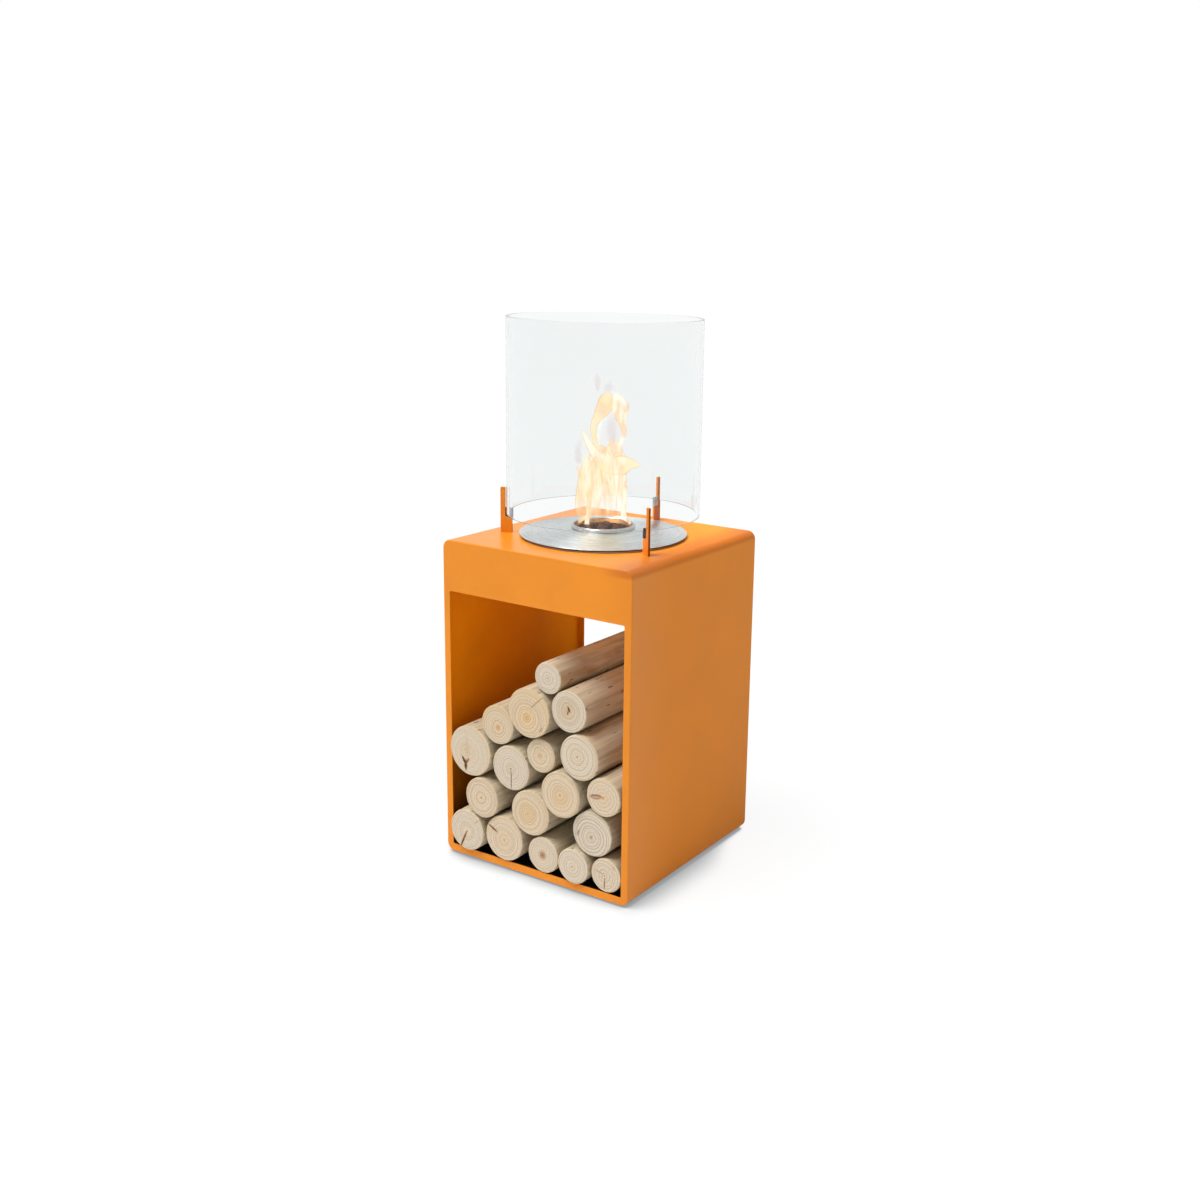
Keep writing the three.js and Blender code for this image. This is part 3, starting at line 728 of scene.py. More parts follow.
    def side_tint(self, surface: Surface, grain: Any) -> Socket:
        """Makes the colour of the peeled side, which is browner towards the ends and paler in the middle.

        Args:
            surface: The material being wired.
            grain: The outputs of the long grain.

        Returns:
            The colour.
        """
        along = surface.math("ABSOLUTE", surface.axes(surface.place)["Y"])
        tan = surface.mix(surface.remap(along, *self.end_brown_reach), self.middle_color, self.color)
        plain = surface.tinted(tan, surface.remap(grain["Streaks"], 0.0, 1.0, *self.streak_shades))
        stained = surface.mix(surface.times(grain["Stains"], self.stain), plain, self.stain_color)
        return surface.mix(surface.times(grain["Specks"], self.speck), stained, self.speck_color)


@dataclass(frozen=True)
class Fire(Finish):
    """Glowing flame that fades towards its edges, root and tip, on the piece's own UV map."""

    color: Color = (0.0, 0.0, 0.0)
    roughness: float = 1.0
    glow: float = 1.14
    density: float = 0.92
    core: Color = (1.0, 0.94, 0.74)
    middle: Color = (1.0, 0.85, 0.53)
    ember: Color = (1.0, 0.66, 0.36)
    edge: Color = (0.90, 0.46, 0.18)
    line: float = 0.85
    softness: float = 0.14
    root: float = 0.16
    lick_scales: tuple[float, float, float] = (38.0, 38.0, 20.0)
    thread_scales: tuple[float, float, float] = (85.0, 85.0, 26.0)
    raggedness: float = 0.5
    gap_density: float = 0.72
    tip_share: float = 0.6
    gap_span: Span = (0.34, 0.50)
    ember_span: Span = (0.38, 0.56)
    core_span: Span = (0.46, 0.62)
    edge_span: Span = (0.72, 0.92)

    def dress(self, surface: Surface) -> None:
        """Wires the flame's shape to the alpha and its heat to the emission.

        Args:
            surface: The material being wired.
        """
        across = surface.axes(surface.add("UVMap", uv_map="flame").outputs["UV"])
        wave = surface.noise(surface.stretch(surface.place, self.lick_scales), 1.0, 1.5)
        strand = surface.noise(surface.stretch(surface.place, self.thread_scales), 1.0, 1.0)
        aside = surface.math("ABSOLUTE", surface.math("MULTIPLY_ADD", across["X"], 2.0, -1.0))
        shift = surface.math("MULTIPLY_ADD", wave, self.raggedness, -self.raggedness / 2)
        ragged = surface.plus(aside, shift)
        inside = surface.remap(ragged, 1 - self.softness, 1.0, 1.0, 0.0)
        rising = surface.remap(across["Y"], 1 - self.softness * self.tip_share, 1.0, 1.0, 0.0)
        root = surface.remap(across["Y"], 0.0, self.root)
        body = surface.times(surface.times(inside, rising), root)
        gaps = surface.remap(strand, *self.gap_span, self.gap_density, 1.0)
        inner = surface.mix(surface.remap(strand, *self.ember_span), self.ember, self.middle)
        bright = surface.mix(surface.remap(wave, *self.core_span), inner, self.core)
        outline = surface.times(surface.remap(ragged, *self.edge_span), self.line)
        surface.feed(
            {
                "Specular IOR Level": 0.0,
                "Emission Color": surface.mix(outline, bright, self.edge),
                "Emission Strength": self.glow,
                "Alpha": surface.times(surface.times(body, gaps), self.density),
            }
        )


# Shapes


class Workpiece:
    """A mesh in the making, from its first vertices to the finished object."""

    def __init__(self, name: str) -> None:
        """Starts an empty mesh."""
        self.name = name
        self.bm = bmesh.new()

    def revolve(self, profile: Profile, steps: int) -> "Workpiece":
        """Spins a profile of (radius, height) points full circle about Z.

        Args:
            profile: The points. One that doesn't start on the axis closes on itself.
            steps: Faces round the circle.

        Returns:
            The workpiece.
        """
        points = [self.bm.verts.new((radius, 0.0, height)) for radius, height in profile]
        ends = list(zip(points, points[1:]))
        if profile[0][0] > 0:
            ends.append((points[-1], points[0]))
        bmesh.ops.spin(
            self.bm,
            geom=points + [self.bm.edges.new(pair) for pair in ends],
            cent=(0.0, 0.0, 0.0),
            axis=(0.0, 0.0, 1.0),
            angle=FULL_TURN,
            steps=steps,
            use_merge=True,
        )
        return self.clean()

    def clean(self, distance: float = HAIR) -> "Workpiece":
        """Merges doubles and turns the faces outwards.

        Args:
            distance: How near two vertices are to be one.

        Returns:
            The workpiece.
        """
        bmesh.ops.remove_doubles(self.bm, verts=self.bm.verts, dist=distance)
        bmesh.ops.recalc_face_normals(self.bm, faces=self.bm.faces)
        return self

    def ease(
        self, width: float, segments: int = 2, pick: Callable[[Edge], bool] | None = None
    ) -> "Workpiece":
        """Rounds sharp edges.

        Args:
            width: How far the rounding reaches from the edge.
            segments: Faces across the rounding.
            pick: Which sharp edges are rounded; all of them if it isn't given.

        Returns:
            The workpiece.
        """
        sharp = [
            edge
            for edge in self.bm.edges
            if len(edge.link_faces) == 2
            and edge.calc_face_angle(0.0) > SHARP
            and (pick is None or pick(edge))
        ]
        self.bevel(sharp, width, segments, "EDGES")
        return self

    def bevel(self, geom: list[Any], width: float, segments: int, affect: str) -> dict[str, list[Any]]:
        """Bevels edges or corners.

        Args:
            geom: The edges or vertices.
            width: How far the bevel reaches.
            segments: Faces or edges across it.
            affect: EDGES or VERTICES.

        Returns:
            What the operator made.
        """
        return bmesh.ops.bevel(
            self.bm,
            geom=geom,
            offset=width,
            offset_type="OFFSET",
            segments=segments,
            profile=0.5,
            affect=affect,
            clamp_overlap=True,
            material=-1,
        )

    def shift_new(self, made: dict[str, list[Any]], step: float) -> "Workpiece":
        """Moves what an extrusion made along Y.

        Args:
            made: The operator's result.
            step: How far it goes.

        Returns:
            The workpiece.
        """
        verts = [item for item in made["geom"] if isinstance(item, bmesh.types.BMVert)]
        bmesh.ops.translate(self.bm, verts=verts, vec=(0.0, step, 0.0))
        return self.clean()

    def line(self, lined: Callable[[Face], bool]) -> "Workpiece":
        """Gives the lining's finish to some of the faces.

        Args:
            lined: Tells whether a face is lined.

        Returns:
            The workpiece.
        """
        for face in self.bm.faces:
            if lined(face):
                face.material_index = 1
        return self

    def finish(
        self,
        body: Body,
        slot: Slot,
        material: Material,
        nodes: Sequence[str] = (),
        crease: float = 32.0,
        lining: Material | None = None,
    ) -> bpy.types.Object:
        """Makes the object, lets it ride on its body and stand for its CAD nodes.

        Args:
            body: The CAD body it moves with.
            slot: The record's material slot; not used.
            material: Its finish.
            nodes: The CAD nodes that it stands for.
            crease: The angle in degrees past which an edge is drawn sharp.
            lining: The finish of the faces that were lined.

        Returns:
            The finished object.
        """
        mesh = bpy.data.meshes.new(self.name)
        self.bm.to_mesh(mesh)
        self.bm.free()
        mesh.polygons.foreach_set("use_smooth", [True] * len(mesh.polygons))
        mesh.set_sharp_from_angle(angle=math.radians(crease))
        mesh.materials.append(material)
        if lining:
            mesh.materials.append(lining)
        piece = bpy.data.objects.new(self.name, mesh)
        bpy.context.scene.collection.objects.link(piece)
        piece.modifiers.new("even_shading", "WEIGHTED_NORMAL").keep_sharp = True
        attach(piece, body.value)
        if nodes:
            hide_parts(*nodes)
        logger.info("%s: %d faces", self.name, len(mesh.polygons))
        return piece


def arc(centre: tuple[float, float], radius: float, start: float, end: float, steps: int = 6) -> Profile:
    """Returns the points of an arc from one angle in degrees to another."""
    angles = [math.radians(start + (end - start) * i / steps) for i in range(steps + 1)]
    return [(centre[0] + radius * math.cos(a), centre[1] + radius * math.sin(a)) for a in angles]


def softened(node: str, name: str, width: float) -> Workpiece:
    """Makes a merged copy of a CAD node with its sharp edges rounded.

    Args:
        node: The CAD node.
        name: The new piece's name.
        width: How far the rounding reaches from an edge.

    Returns:
        The workpiece.
    """
    work = Workpiece(name)
    bm = work.bm
    bm.from_mesh(bpy.data.objects[node].data)
    bmesh.ops.remove_doubles(bm, verts=bm.verts, dist=SLIP)
    bmesh.ops.dissolve_limit(bm, angle_limit=FLAT, verts=bm.verts, edges=bm.edges)
    return work.ease(width)


def rounded_outline(work: Workpiece, low: Vector, high: Vector, radius: float, depth: float) -> list[Edge]:
    """Draws the outline of an upright rectangle with round corners at one depth.

    Args:
        work: The workpiece that it is drawn in.
        low: Its lower left corner; only X and Z count.
        high: Its upper right corner.
        radius: The corners' radius.
        depth: Its place along Y.

    Returns:
        The outline's edges.
    """
    corners = [(low.x, low.z), (high.x, low.z), (high.x, high.z), (low.x, high.z)]
    verts = [work.bm.verts.new((x, depth, z)) for x, z in corners]
    work.bm.faces.new(verts)
    made = work.bevel(verts, radius, CORNER_STEPS, "VERTICES")
    around = {edge for vert in made["verts"] for edge in vert.link_edges}
    filled = [face for face in work.bm.faces if all(edge in around for edge in face.edges)]
    bmesh.ops.delete(work.bm, geom=filled, context="FACES_ONLY")
    return [edge for edge in work.bm.edges if edge in around]


# Sub-assemblies


@dataclass
class BodyShell:
    """The coated steel body: the wrap, its two faces, and the sheets and rails of the log bay."""

    finishes: Finishes
    corner_radius: float = 15 * MM
    opening_radius: float = 3 * MM
    border: float = 14 * MM
    apron: float = 91 * MM
    sheet: float = 2 * MM
    edge_round: float = 1.9 * MM
    edge_steps: int = 5
    opening_round: float = 0.4 * MM
    bay_round: float = 0.3 * MM
    burner_hole_radius: float = 135 * MM
    hole_steps: int = 96
    slot_reach: Span = (167.7 * MM, 179.3 * MM)
    slot_width: float = 4.6 * MM
    slot_angles: tuple[float, ...] = (90.0, 210.0, 330.0)

    def build(self) -> None:
        """Makes the shell and dresses the bay's parts."""
        low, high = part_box("body_wrap")
        self.face("front", low, high, low.y, low.y + self.sheet)
        self.face("rear", low, high, high.y, high.y - self.sheet)
        self.wrap(low, high)
        lining = self.finishes[Trim.LINING]
        for node in ("ceiling_rail_left", "ceiling_rail_right", "bay_ceiling"):
            self.bay_part(node, Slot.COAT, lining)
        # painted shade: the liner's black finish stands for the deep shade on the bay's floor
        self.bay_part("bay_liner", Slot.BLACK, self.finishes[Slot.BLACK])

    def face(self, side: str, low: Vector, high: Vector, outside: float, inside: float) -> None:
        """Makes a face plate, with its outer edge rounded into the sides.

        Args:
            side: Front or rear.
            low: The body's lowest corner.
            high: The body's highest corner.
            outside: The plate's outer level along Y.
            inside: Its inner level.
        """
        work = Workpiece(f"{side}_face")
        outer = rounded_outline(work, low, high, self.corner_radius, outside)
        bay_low = Vector((low.x + self.border, 0.0, low.z + self.border))
        bay_high = Vector((high.x - self.border, 0.0, high.z - self.apron))
        inner = rounded_outline(work, bay_low, bay_high, self.opening_radius, outside)
        bmesh.ops.bridge_loops(work.bm, edges=outer + inner)
        made = bmesh.ops.extrude_face_region(work.bm, geom=list(work.bm.faces))
        work.shift_new(made, inside - outside)

        def beside_bay(edge: Edge) -> bool:
            """Tells whether an edge is one of the opening's."""
            return not any(self.outside_bay(vert.co, bay_low, bay_high) for vert in edge.verts)

        def on_rim(edge: Edge) -> bool:
            """Tells whether an edge runs round the outside of the outer face.

            Args:
                edge: The edge.

            Returns:
                Whether it does.
            """
            ends = [vert.co for vert in edge.verts]
            return all(
                abs(end.y - outside) < SLIP and self.outside_bay(end, bay_low, bay_high) for end in ends
            )

        work.ease(self.edge_round, self.edge_steps, on_rim).ease(self.opening_round, pick=beside_bay)
        work.line(lambda face: abs(face.calc_center_median().y - inside) < SLIP)
        coat, lining = self.finishes[Slot.COAT], self.finishes[Trim.LINING]
        work.finish(Body.BODY, Slot.COAT, coat, [f"{side}_frame"], lining=lining)

    @staticmethod
    def outside_bay(point: Vector, bay_low: Vector, bay_high: Vector) -> bool:
        """Tells whether a point lies clear outside the bay's opening.

        Args:
            point: The point.
            bay_low: The opening's lower left corner.
            bay_high: Its upper right corner.

        Returns:
            Whether it lies outside.
        """
        slack = 2 * MM
        wide = bay_low.x - slack < point.x < bay_high.x + slack
        tall = bay_low.z - slack < point.z < bay_high.z + slack
        return not (wide and tall)

    def wrap(self, low: Vector, high: Vector) -> None:
        """Makes the bent sheet between the faces, with the burner's hole and the tenon slots in its top.

        Args:
            low: The body's lowest corner.
            high: The body's highest corner.
        """
        work = Workpiece("body_sheet")
        front, back = low.y + self.sheet, high.y - self.sheet
        outline = rounded_outline(work, low, high, self.corner_radius, front)
        work.shift_new(bmesh.ops.extrude_edge_only(work.bm, edges=outline), back - front)
        self.open_top(work, high.z)
        bmesh.ops.solidify(work.bm, geom=list(work.bm.faces), thickness=self.sheet)
        work.clean()
        skin = self.sheet / 4
        centre, half = (low + high) / 2, (high - low) / 2

        def inside(face: Face) -> bool:
            """Tells whether a face is on the inner side of the sheet, also at its bends.

            Args:
                face: The face.

            Returns:
                Whether it is.
            """
            middle = face.calc_center_median()
            wide = abs(middle.x - centre.x) - half.x + self.corner_radius
            tall = abs(middle.z - centre.z) - half.z + self.corner_radius
            past = math.hypot(max(wide, 0.0), max(tall, 0.0)) + min(max(wide, tall), 0.0)
            return past < self.corner_radius - skin and abs(middle.y - centre.y) < half.y - skin

        work.line(inside)
        coat, lining = self.finishes[Slot.COAT], self.finishes[Trim.LINING]
        work.finish(Body.BODY, Slot.COAT, coat, ["body_wrap"], lining=lining)

    def open_top(self, work: Workpiece, level: float) -> None:
        """Lays the flat top anew, with its round hole and its three slots.

        Args:
            work: The bent sheet.
            level: The top's height.
        """
        bm = work.bm
        top = [face for face in bm.faces if all(abs(vert.co.z - level) < HAIR for vert in face.verts)]
        drawn = {edge for face in top for edge in face.edges}
        bmesh.ops.delete(bm, geom=top, context="FACES_ONLY")
        place = Matrix.Translation((0.0, 0.0, level))
        ring = bmesh.ops.create_circle(
            bm, segments=self.hole_steps, radius=self.burner_hole_radius, matrix=place
        )
        drawn.update(edge for vert in ring["verts"] for edge in vert.link_edges)
        near, far = self.slot_reach
        half = self.slot_width / 2
        for angle in self.slot_angles:
            turn = place @ Matrix.Rotation(math.radians(angle), 4, "Z")
            spots = [(near, -half), (far, -half), (far, half), (near, half)]
            verts = [bm.verts.new(turn @ Vector((x, y, 0.0))) for x, y in spots]
            drawn.update(bm.edges.new((verts[i - 1], verts[i])) for i in range(len(verts)))
        edges = [edge for edge in bm.edges if edge in drawn]
        bmesh.ops.triangle_fill(bm, edges=edges, use_beauty=True, normal=(0.0, 0.0, 1.0))
        bmesh.ops.recalc_face_normals(bm, faces=bm.faces)

    def bay_part(self, node: str, slot: Slot, finish: Material) -> None:
        """Makes a softened copy of a plain part of the bay."""
        softened(node, f"{node}_sheet", self.bay_round).finish(Body.BODY, slot, finish, [node])


@dataclass
class Burner:
    """The plate, gasket and pan, and the canister with its mouth ring, bead and stones."""

    finishes: Finishes
    sheet: float = 1.5 * MM
    steps: int = 128
    lip_round: float = 0.3 * MM
    plate_hole_radius: float = 50.5 * MM
    land_radius: float = 62 * MM
    rim_width: float = 8 * MM
    plate_steps: int = 160
    rise_steps: int = 14
    rise_curve: float = 0.3
    gasket_width: float = 16 * MM
    gasket_round: float = 0.5 * MM
    pan_sheet: float = 1.2 * MM
    pan_radius: float = 133 * MM
    pan_rounding: float = 8 * MM
    canister_radius: float = 49 * MM
    canister_floor_rounding: float = 4 * MM
    mouth_radius: float = 52 * MM
    ring_height: float = 6.5 * MM
    ring_round: float = 0.6 * MM
    bead_drop: float = 26 * MM
    bead_depth: float = 2.5 * MM
    tint_floor: float = 3 * MM
    tint_lip: float = 1 * MM
    stone_count: int = 7
    stone_lift: float = 5 * MM
    stone_cuts: int = 16
    cut_depths: Span = (0.80, 0.97)
    least_facing: float = 0.2
    stone_roughness: float = 0.05
    stone_grain: float = 3.1
    stone_subdivisions: int = 4

    def build(self) -> None:
        """Makes every piece of the burner."""
        self.plate()
        self.gasket()
        self.pan()
        self.canister()
        for number in range(1, self.stone_count + 1):
            self.stone(f"stone_{number}", number)

    def plate(self) -> None:
        """Makes the spun plate, which rises in a slow curve to the land round the mouth."""
        low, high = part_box("burner_plate")
        outer, hole, lip = high.x, self.plate_hole_radius, self.lip_round
        top_of_rim = low.z + self.sheet
        start, end = outer - self.rim_width, self.land_radius

        def slope(base: float, i: int) -> tuple[float, float]:
            """Returns a point of the slow rise.

            Args:
                base: The height at which the rise starts.
                i: The point's number.

            Returns:
                Its radius and height.
            """
            share = i / self.rise_steps
            eased = (1 - self.rise_curve) * share + self.rise_curve * share * share * (3 - 2 * share)
            return start + (end - start) * share, base + (high.z - top_of_rim) * eased

        bend = self.sheet / 2
        upper = [slope(top_of_rim, i) for i in range(self.rise_steps + 1)]
        lower = [slope(low.z, i) for i in range(self.rise_steps + 1)]
        edge = arc((outer - bend, low.z + bend), bend, -90, 90)
        mouth = [(hole + lip, high.z), (hole, high.z - lip)]
        profile = [(hole, high.z - self.sheet), *reversed(lower), *edge, *upper, *mouth]
        work = Workpiece("spun_plate").revolve(profile, self.plate_steps)
        work.finish(Body.PLATE, Slot.BRUSHED, self.finishes[Slot.BRUSHED], ["burner_plate"])

    def gasket(self) -> None:
        """Makes the dark ring under the plate."""
        low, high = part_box("plate_gasket")
        inner = high.x - self.gasket_width
        profile = [(inner, low.z), (high.x, low.z), (high.x, high.z), (inner, high.z)]
        work = Workpiece("seal_ring").revolve(profile, self.steps).ease(self.gasket_round)
        work.finish(Body.BODY, Slot.SEAL, self.finishes[Slot.SEAL], ["plate_gasket"])

    def pan(self) -> None:
        """Makes the safety pan with its flange."""
        low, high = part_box("burner_pan")
        outer, sheet, bend = self.pan_radius, self.pan_sheet, self.pan_rounding
        inner = outer - sheet
        profile = [
            (0.0, low.z),
            *arc((outer - bend, low.z + bend), bend, -90, 0),
            (outer, high.z - sheet),
            (high.x, high.z - sheet),
            (high.x, high.z),
            (inner, high.z),
            *arc((inner - bend, low.z + sheet + bend), bend, 0, -90),
            (0.0, low.z + sheet),
        ]
        work = Workpiece("pressed_pan").revolve(profile, self.steps)
        work.finish(Body.BODY, Slot.ZINC, self.finishes[Slot.ZINC], ["burner_pan"])

    def canister(self) -> None:
        """Makes the fuel cup with its rolled mouth ring and its bead; its inner side has a heat tint with a
        painted glow of the flame.
        """
        low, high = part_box("fuel_canister")
        outer, inner = self.canister_radius, self.canister_radius - self.sheet
        ring_low = high.z - self.ring_height
        roll = (high.x - self.mouth_radius) / 2
        bead_top = ring_low - self.bead_drop
        bead, curve = self.bead_depth, self.canister_floor_rounding
        profile = [
            (0.0, low.z),
            *arc((outer - curve, low.z + curve), curve, -90, 0),
            (outer, bead_top - 2 * bead),
            (outer - bead, bead_top - bead),
            (outer, bead_top),
            (outer, ring_low),
            (high.x - self.ring_round, ring_low),
            (high.x, ring_low + self.ring_round),
            *arc((self.mouth_radius + roll, high.z - roll), roll, 0, 180, 12),
            (inner, ring_low - self.sheet),
            (inner, bead_top),
            (inner - bead, bead_top),
            (inner - bead, bead_top - 2 * bead),
            (inner, bead_top - 2 * bead - self.sheet),
            *arc((inner - curve, low.z + self.sheet + curve), curve, 0, -90),
            (0.0, low.z + self.sheet),
        ]
        work = Workpiece("turned_canister").revolve(profile, self.steps)
        floor, lip = low.z + self.tint_floor, high.z - self.tint_lip

        def tinted_and_glowing(face: Face) -> bool:
            """Tells whether a face looks inwards between the floor and the lip."""
            middle = face.calc_center_median()
            return floor < middle.z < lip and face.normal.xy.dot(middle.xy) < 0

        # the inner side's orange is partly heat tint and partly painted glow of the flame
        polished, tinted = self.finishes[Slot.POLISHED], self.finishes[Trim.HEAT_TINT_AND_GLOW]
        work.line(tinted_and_glowing).finish(Body.CANISTER, Slot.POLISHED, polished, ["fuel_canister"], lining=tinted)

    def stone(self, node: str, seed: int) -> None:
        """Makes one stone with broken faces, where its CAD node lies.

        Args:
            node: The CAD node that it stands for.
            seed: Makes this stone unlike the others.
        """
        low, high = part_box(node)
        centre, half = (low + high) / 2, (high - low) / 2
        dice = random.Random(seed)
        cuts = []
        for _ in range(self.stone_cuts):
            normal = Vector([dice.gauss(0.0, 1.0) for _ in range(3)]).normalized()
            cuts.append((normal, dice.uniform(*self.cut_depths)))
        work = Workpiece(f"broken_{node}")
        bmesh.ops.create_icosphere(work.bm, subdivisions=self.stone_subdivisions, radius=1.0)
        for vert in work.bm.verts:
            way = vert.co.normalized()
            reach = min([1.0] + [depth / way.dot(n) for n, depth in cuts if way.dot(n) > self.least_facing])
            grain = noise.noise(way * self.stone_grain + Vector((seed, 0, 0)))
            rough = 1 - self.stone_roughness * abs(grain)
            vert.co = centre + Vector(w * h for w, h in zip(way * reach * rough, half))
            vert.co.z += self.stone_lift
        work.finish(Body.CANISTER, Slot.STONE, self.finishes[Slot.STONE], [node], crease=60)


@dataclass
class GlassHolder:
    """The glass cylinder, and its brackets with their shoes."""

    finishes: Finishes
    wall: float = 4.5 * MM
    ground_edge: float = 0.5 * MM
    steps: int = 192
    places: dict[str, float] = field(default_factory=lambda: {"rear": 90.0, "left": 210.0, "right": 330.0})
    softness: float = 0.35 * MM
    shoe_half: float = 2 * MM
    painted_shade_facing: float = 0.8

    def build(self) -> None:
        """Makes the glass and what holds it."""
        self.glass()
        for place, angle in self.places.items():
            self.post(place)
            self.shoe(place, angle)

    def post(self, place: str) -> None:
        """Makes a bracket; its right-hand faces have painted shade, a dark orange.

        Args:
            place: Where it stands.
        """
        work = softened(f"bracket_{place}", f"post_{place}", self.softness)
        # painted shade on the faces that look to the right
        work.line(lambda face: face.normal.x > self.painted_shade_facing)
        shaded_side_finish = self.finishes[Trim.REAR_PAINTED_SHADE_SIDE if place == "rear" else Trim.PAINTED_SHADE_SIDE]
        work.finish(Body.BODY, Slot.COAT, self.finishes[Slot.COAT], [f"bracket_{place}"], lining=shaded_side_finish)

    def shoe(self, place: str, angle: float) -> None:
        """Makes a shoe, cut flush with its bracket's flat sides.

        Args:
            place: Where it stands.
            angle: Its bracket's place round the burner, in degrees.
        """
        node = f"glass_shoe_{place}"
        work = softened(node, f"shoe_{place}", self.softness)
        bm = work.bm
        turn = math.radians(angle)
        for way in (-1, 1):
            flat = Vector((-math.sin(turn), math.cos(turn), 0.0)) * way
            geom = [*bm.verts, *bm.edges, *bm.faces]
            side = {"plane_co": flat * self.shoe_half, "plane_no": flat, "clear_outer": True}
            cut = bmesh.ops.bisect_plane(bm, geom=geom, dist=HAIR, **side)
            edges = [item for item in cut["geom_cut"] if isinstance(item, Edge)]
            bmesh.ops.triangle_fill(bm, edges=edges, use_beauty=True, normal=flat)
        work.clean(SLIP)
        material = self.finishes[Trim.PALE_SHOE if place == "rear" else Slot.SEAL]
        work.finish(Body.BODY, Slot.SEAL, material, [node])

    def glass(self) -> None:
        """Makes the cylinder with ground edges."""
        low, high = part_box("glass_cylinder")
        soft = self.ground_edge
        inner, outer = high.x - self.wall + soft, high.x - soft
        profile = [
            *arc((outer, low.z + soft), soft, -90, 0, 3),
            *arc((outer, high.z - soft), soft, 0, 90, 3),
            *arc((inner, high.z - soft), soft, 90, 180, 3),
            *arc((inner, low.z + soft), soft, 180, 270, 3),
        ]
        work = Workpiece("clear_cylinder").revolve(profile, self.steps)
        piece = work.finish(Body.GLASS, Slot.GLASS, self.finishes[Slot.GLASS], ["glass_cylinder"])
        piece.visible_shadow = False


@dataclass(frozen=True)
class LogLook:
    """How one log differs from the others; lengths in millimetres, places in shares of its radius."""

    pith: tuple[float, float] = (0.0, 0.0)
    warmth: float = 0.5
    gold: float = 0.2
    rim: float = 0.3
    rings: float = 0.3
    heart: float = 1.6
    stain: float = 0.4
    marks: tuple[Mark, ...] = ()


TAN: Color = (0.52, 0.33, 0.17)
RUST: Color = (0.36, 0.15, 0.06)


def patch(place: tuple[float, float], length: float, width: float, color: Color, strength: float) -> Mark:
    """Returns a soft patch that lies level."""
    return Mark(place, 0, length, width, color, strength, 0.9)


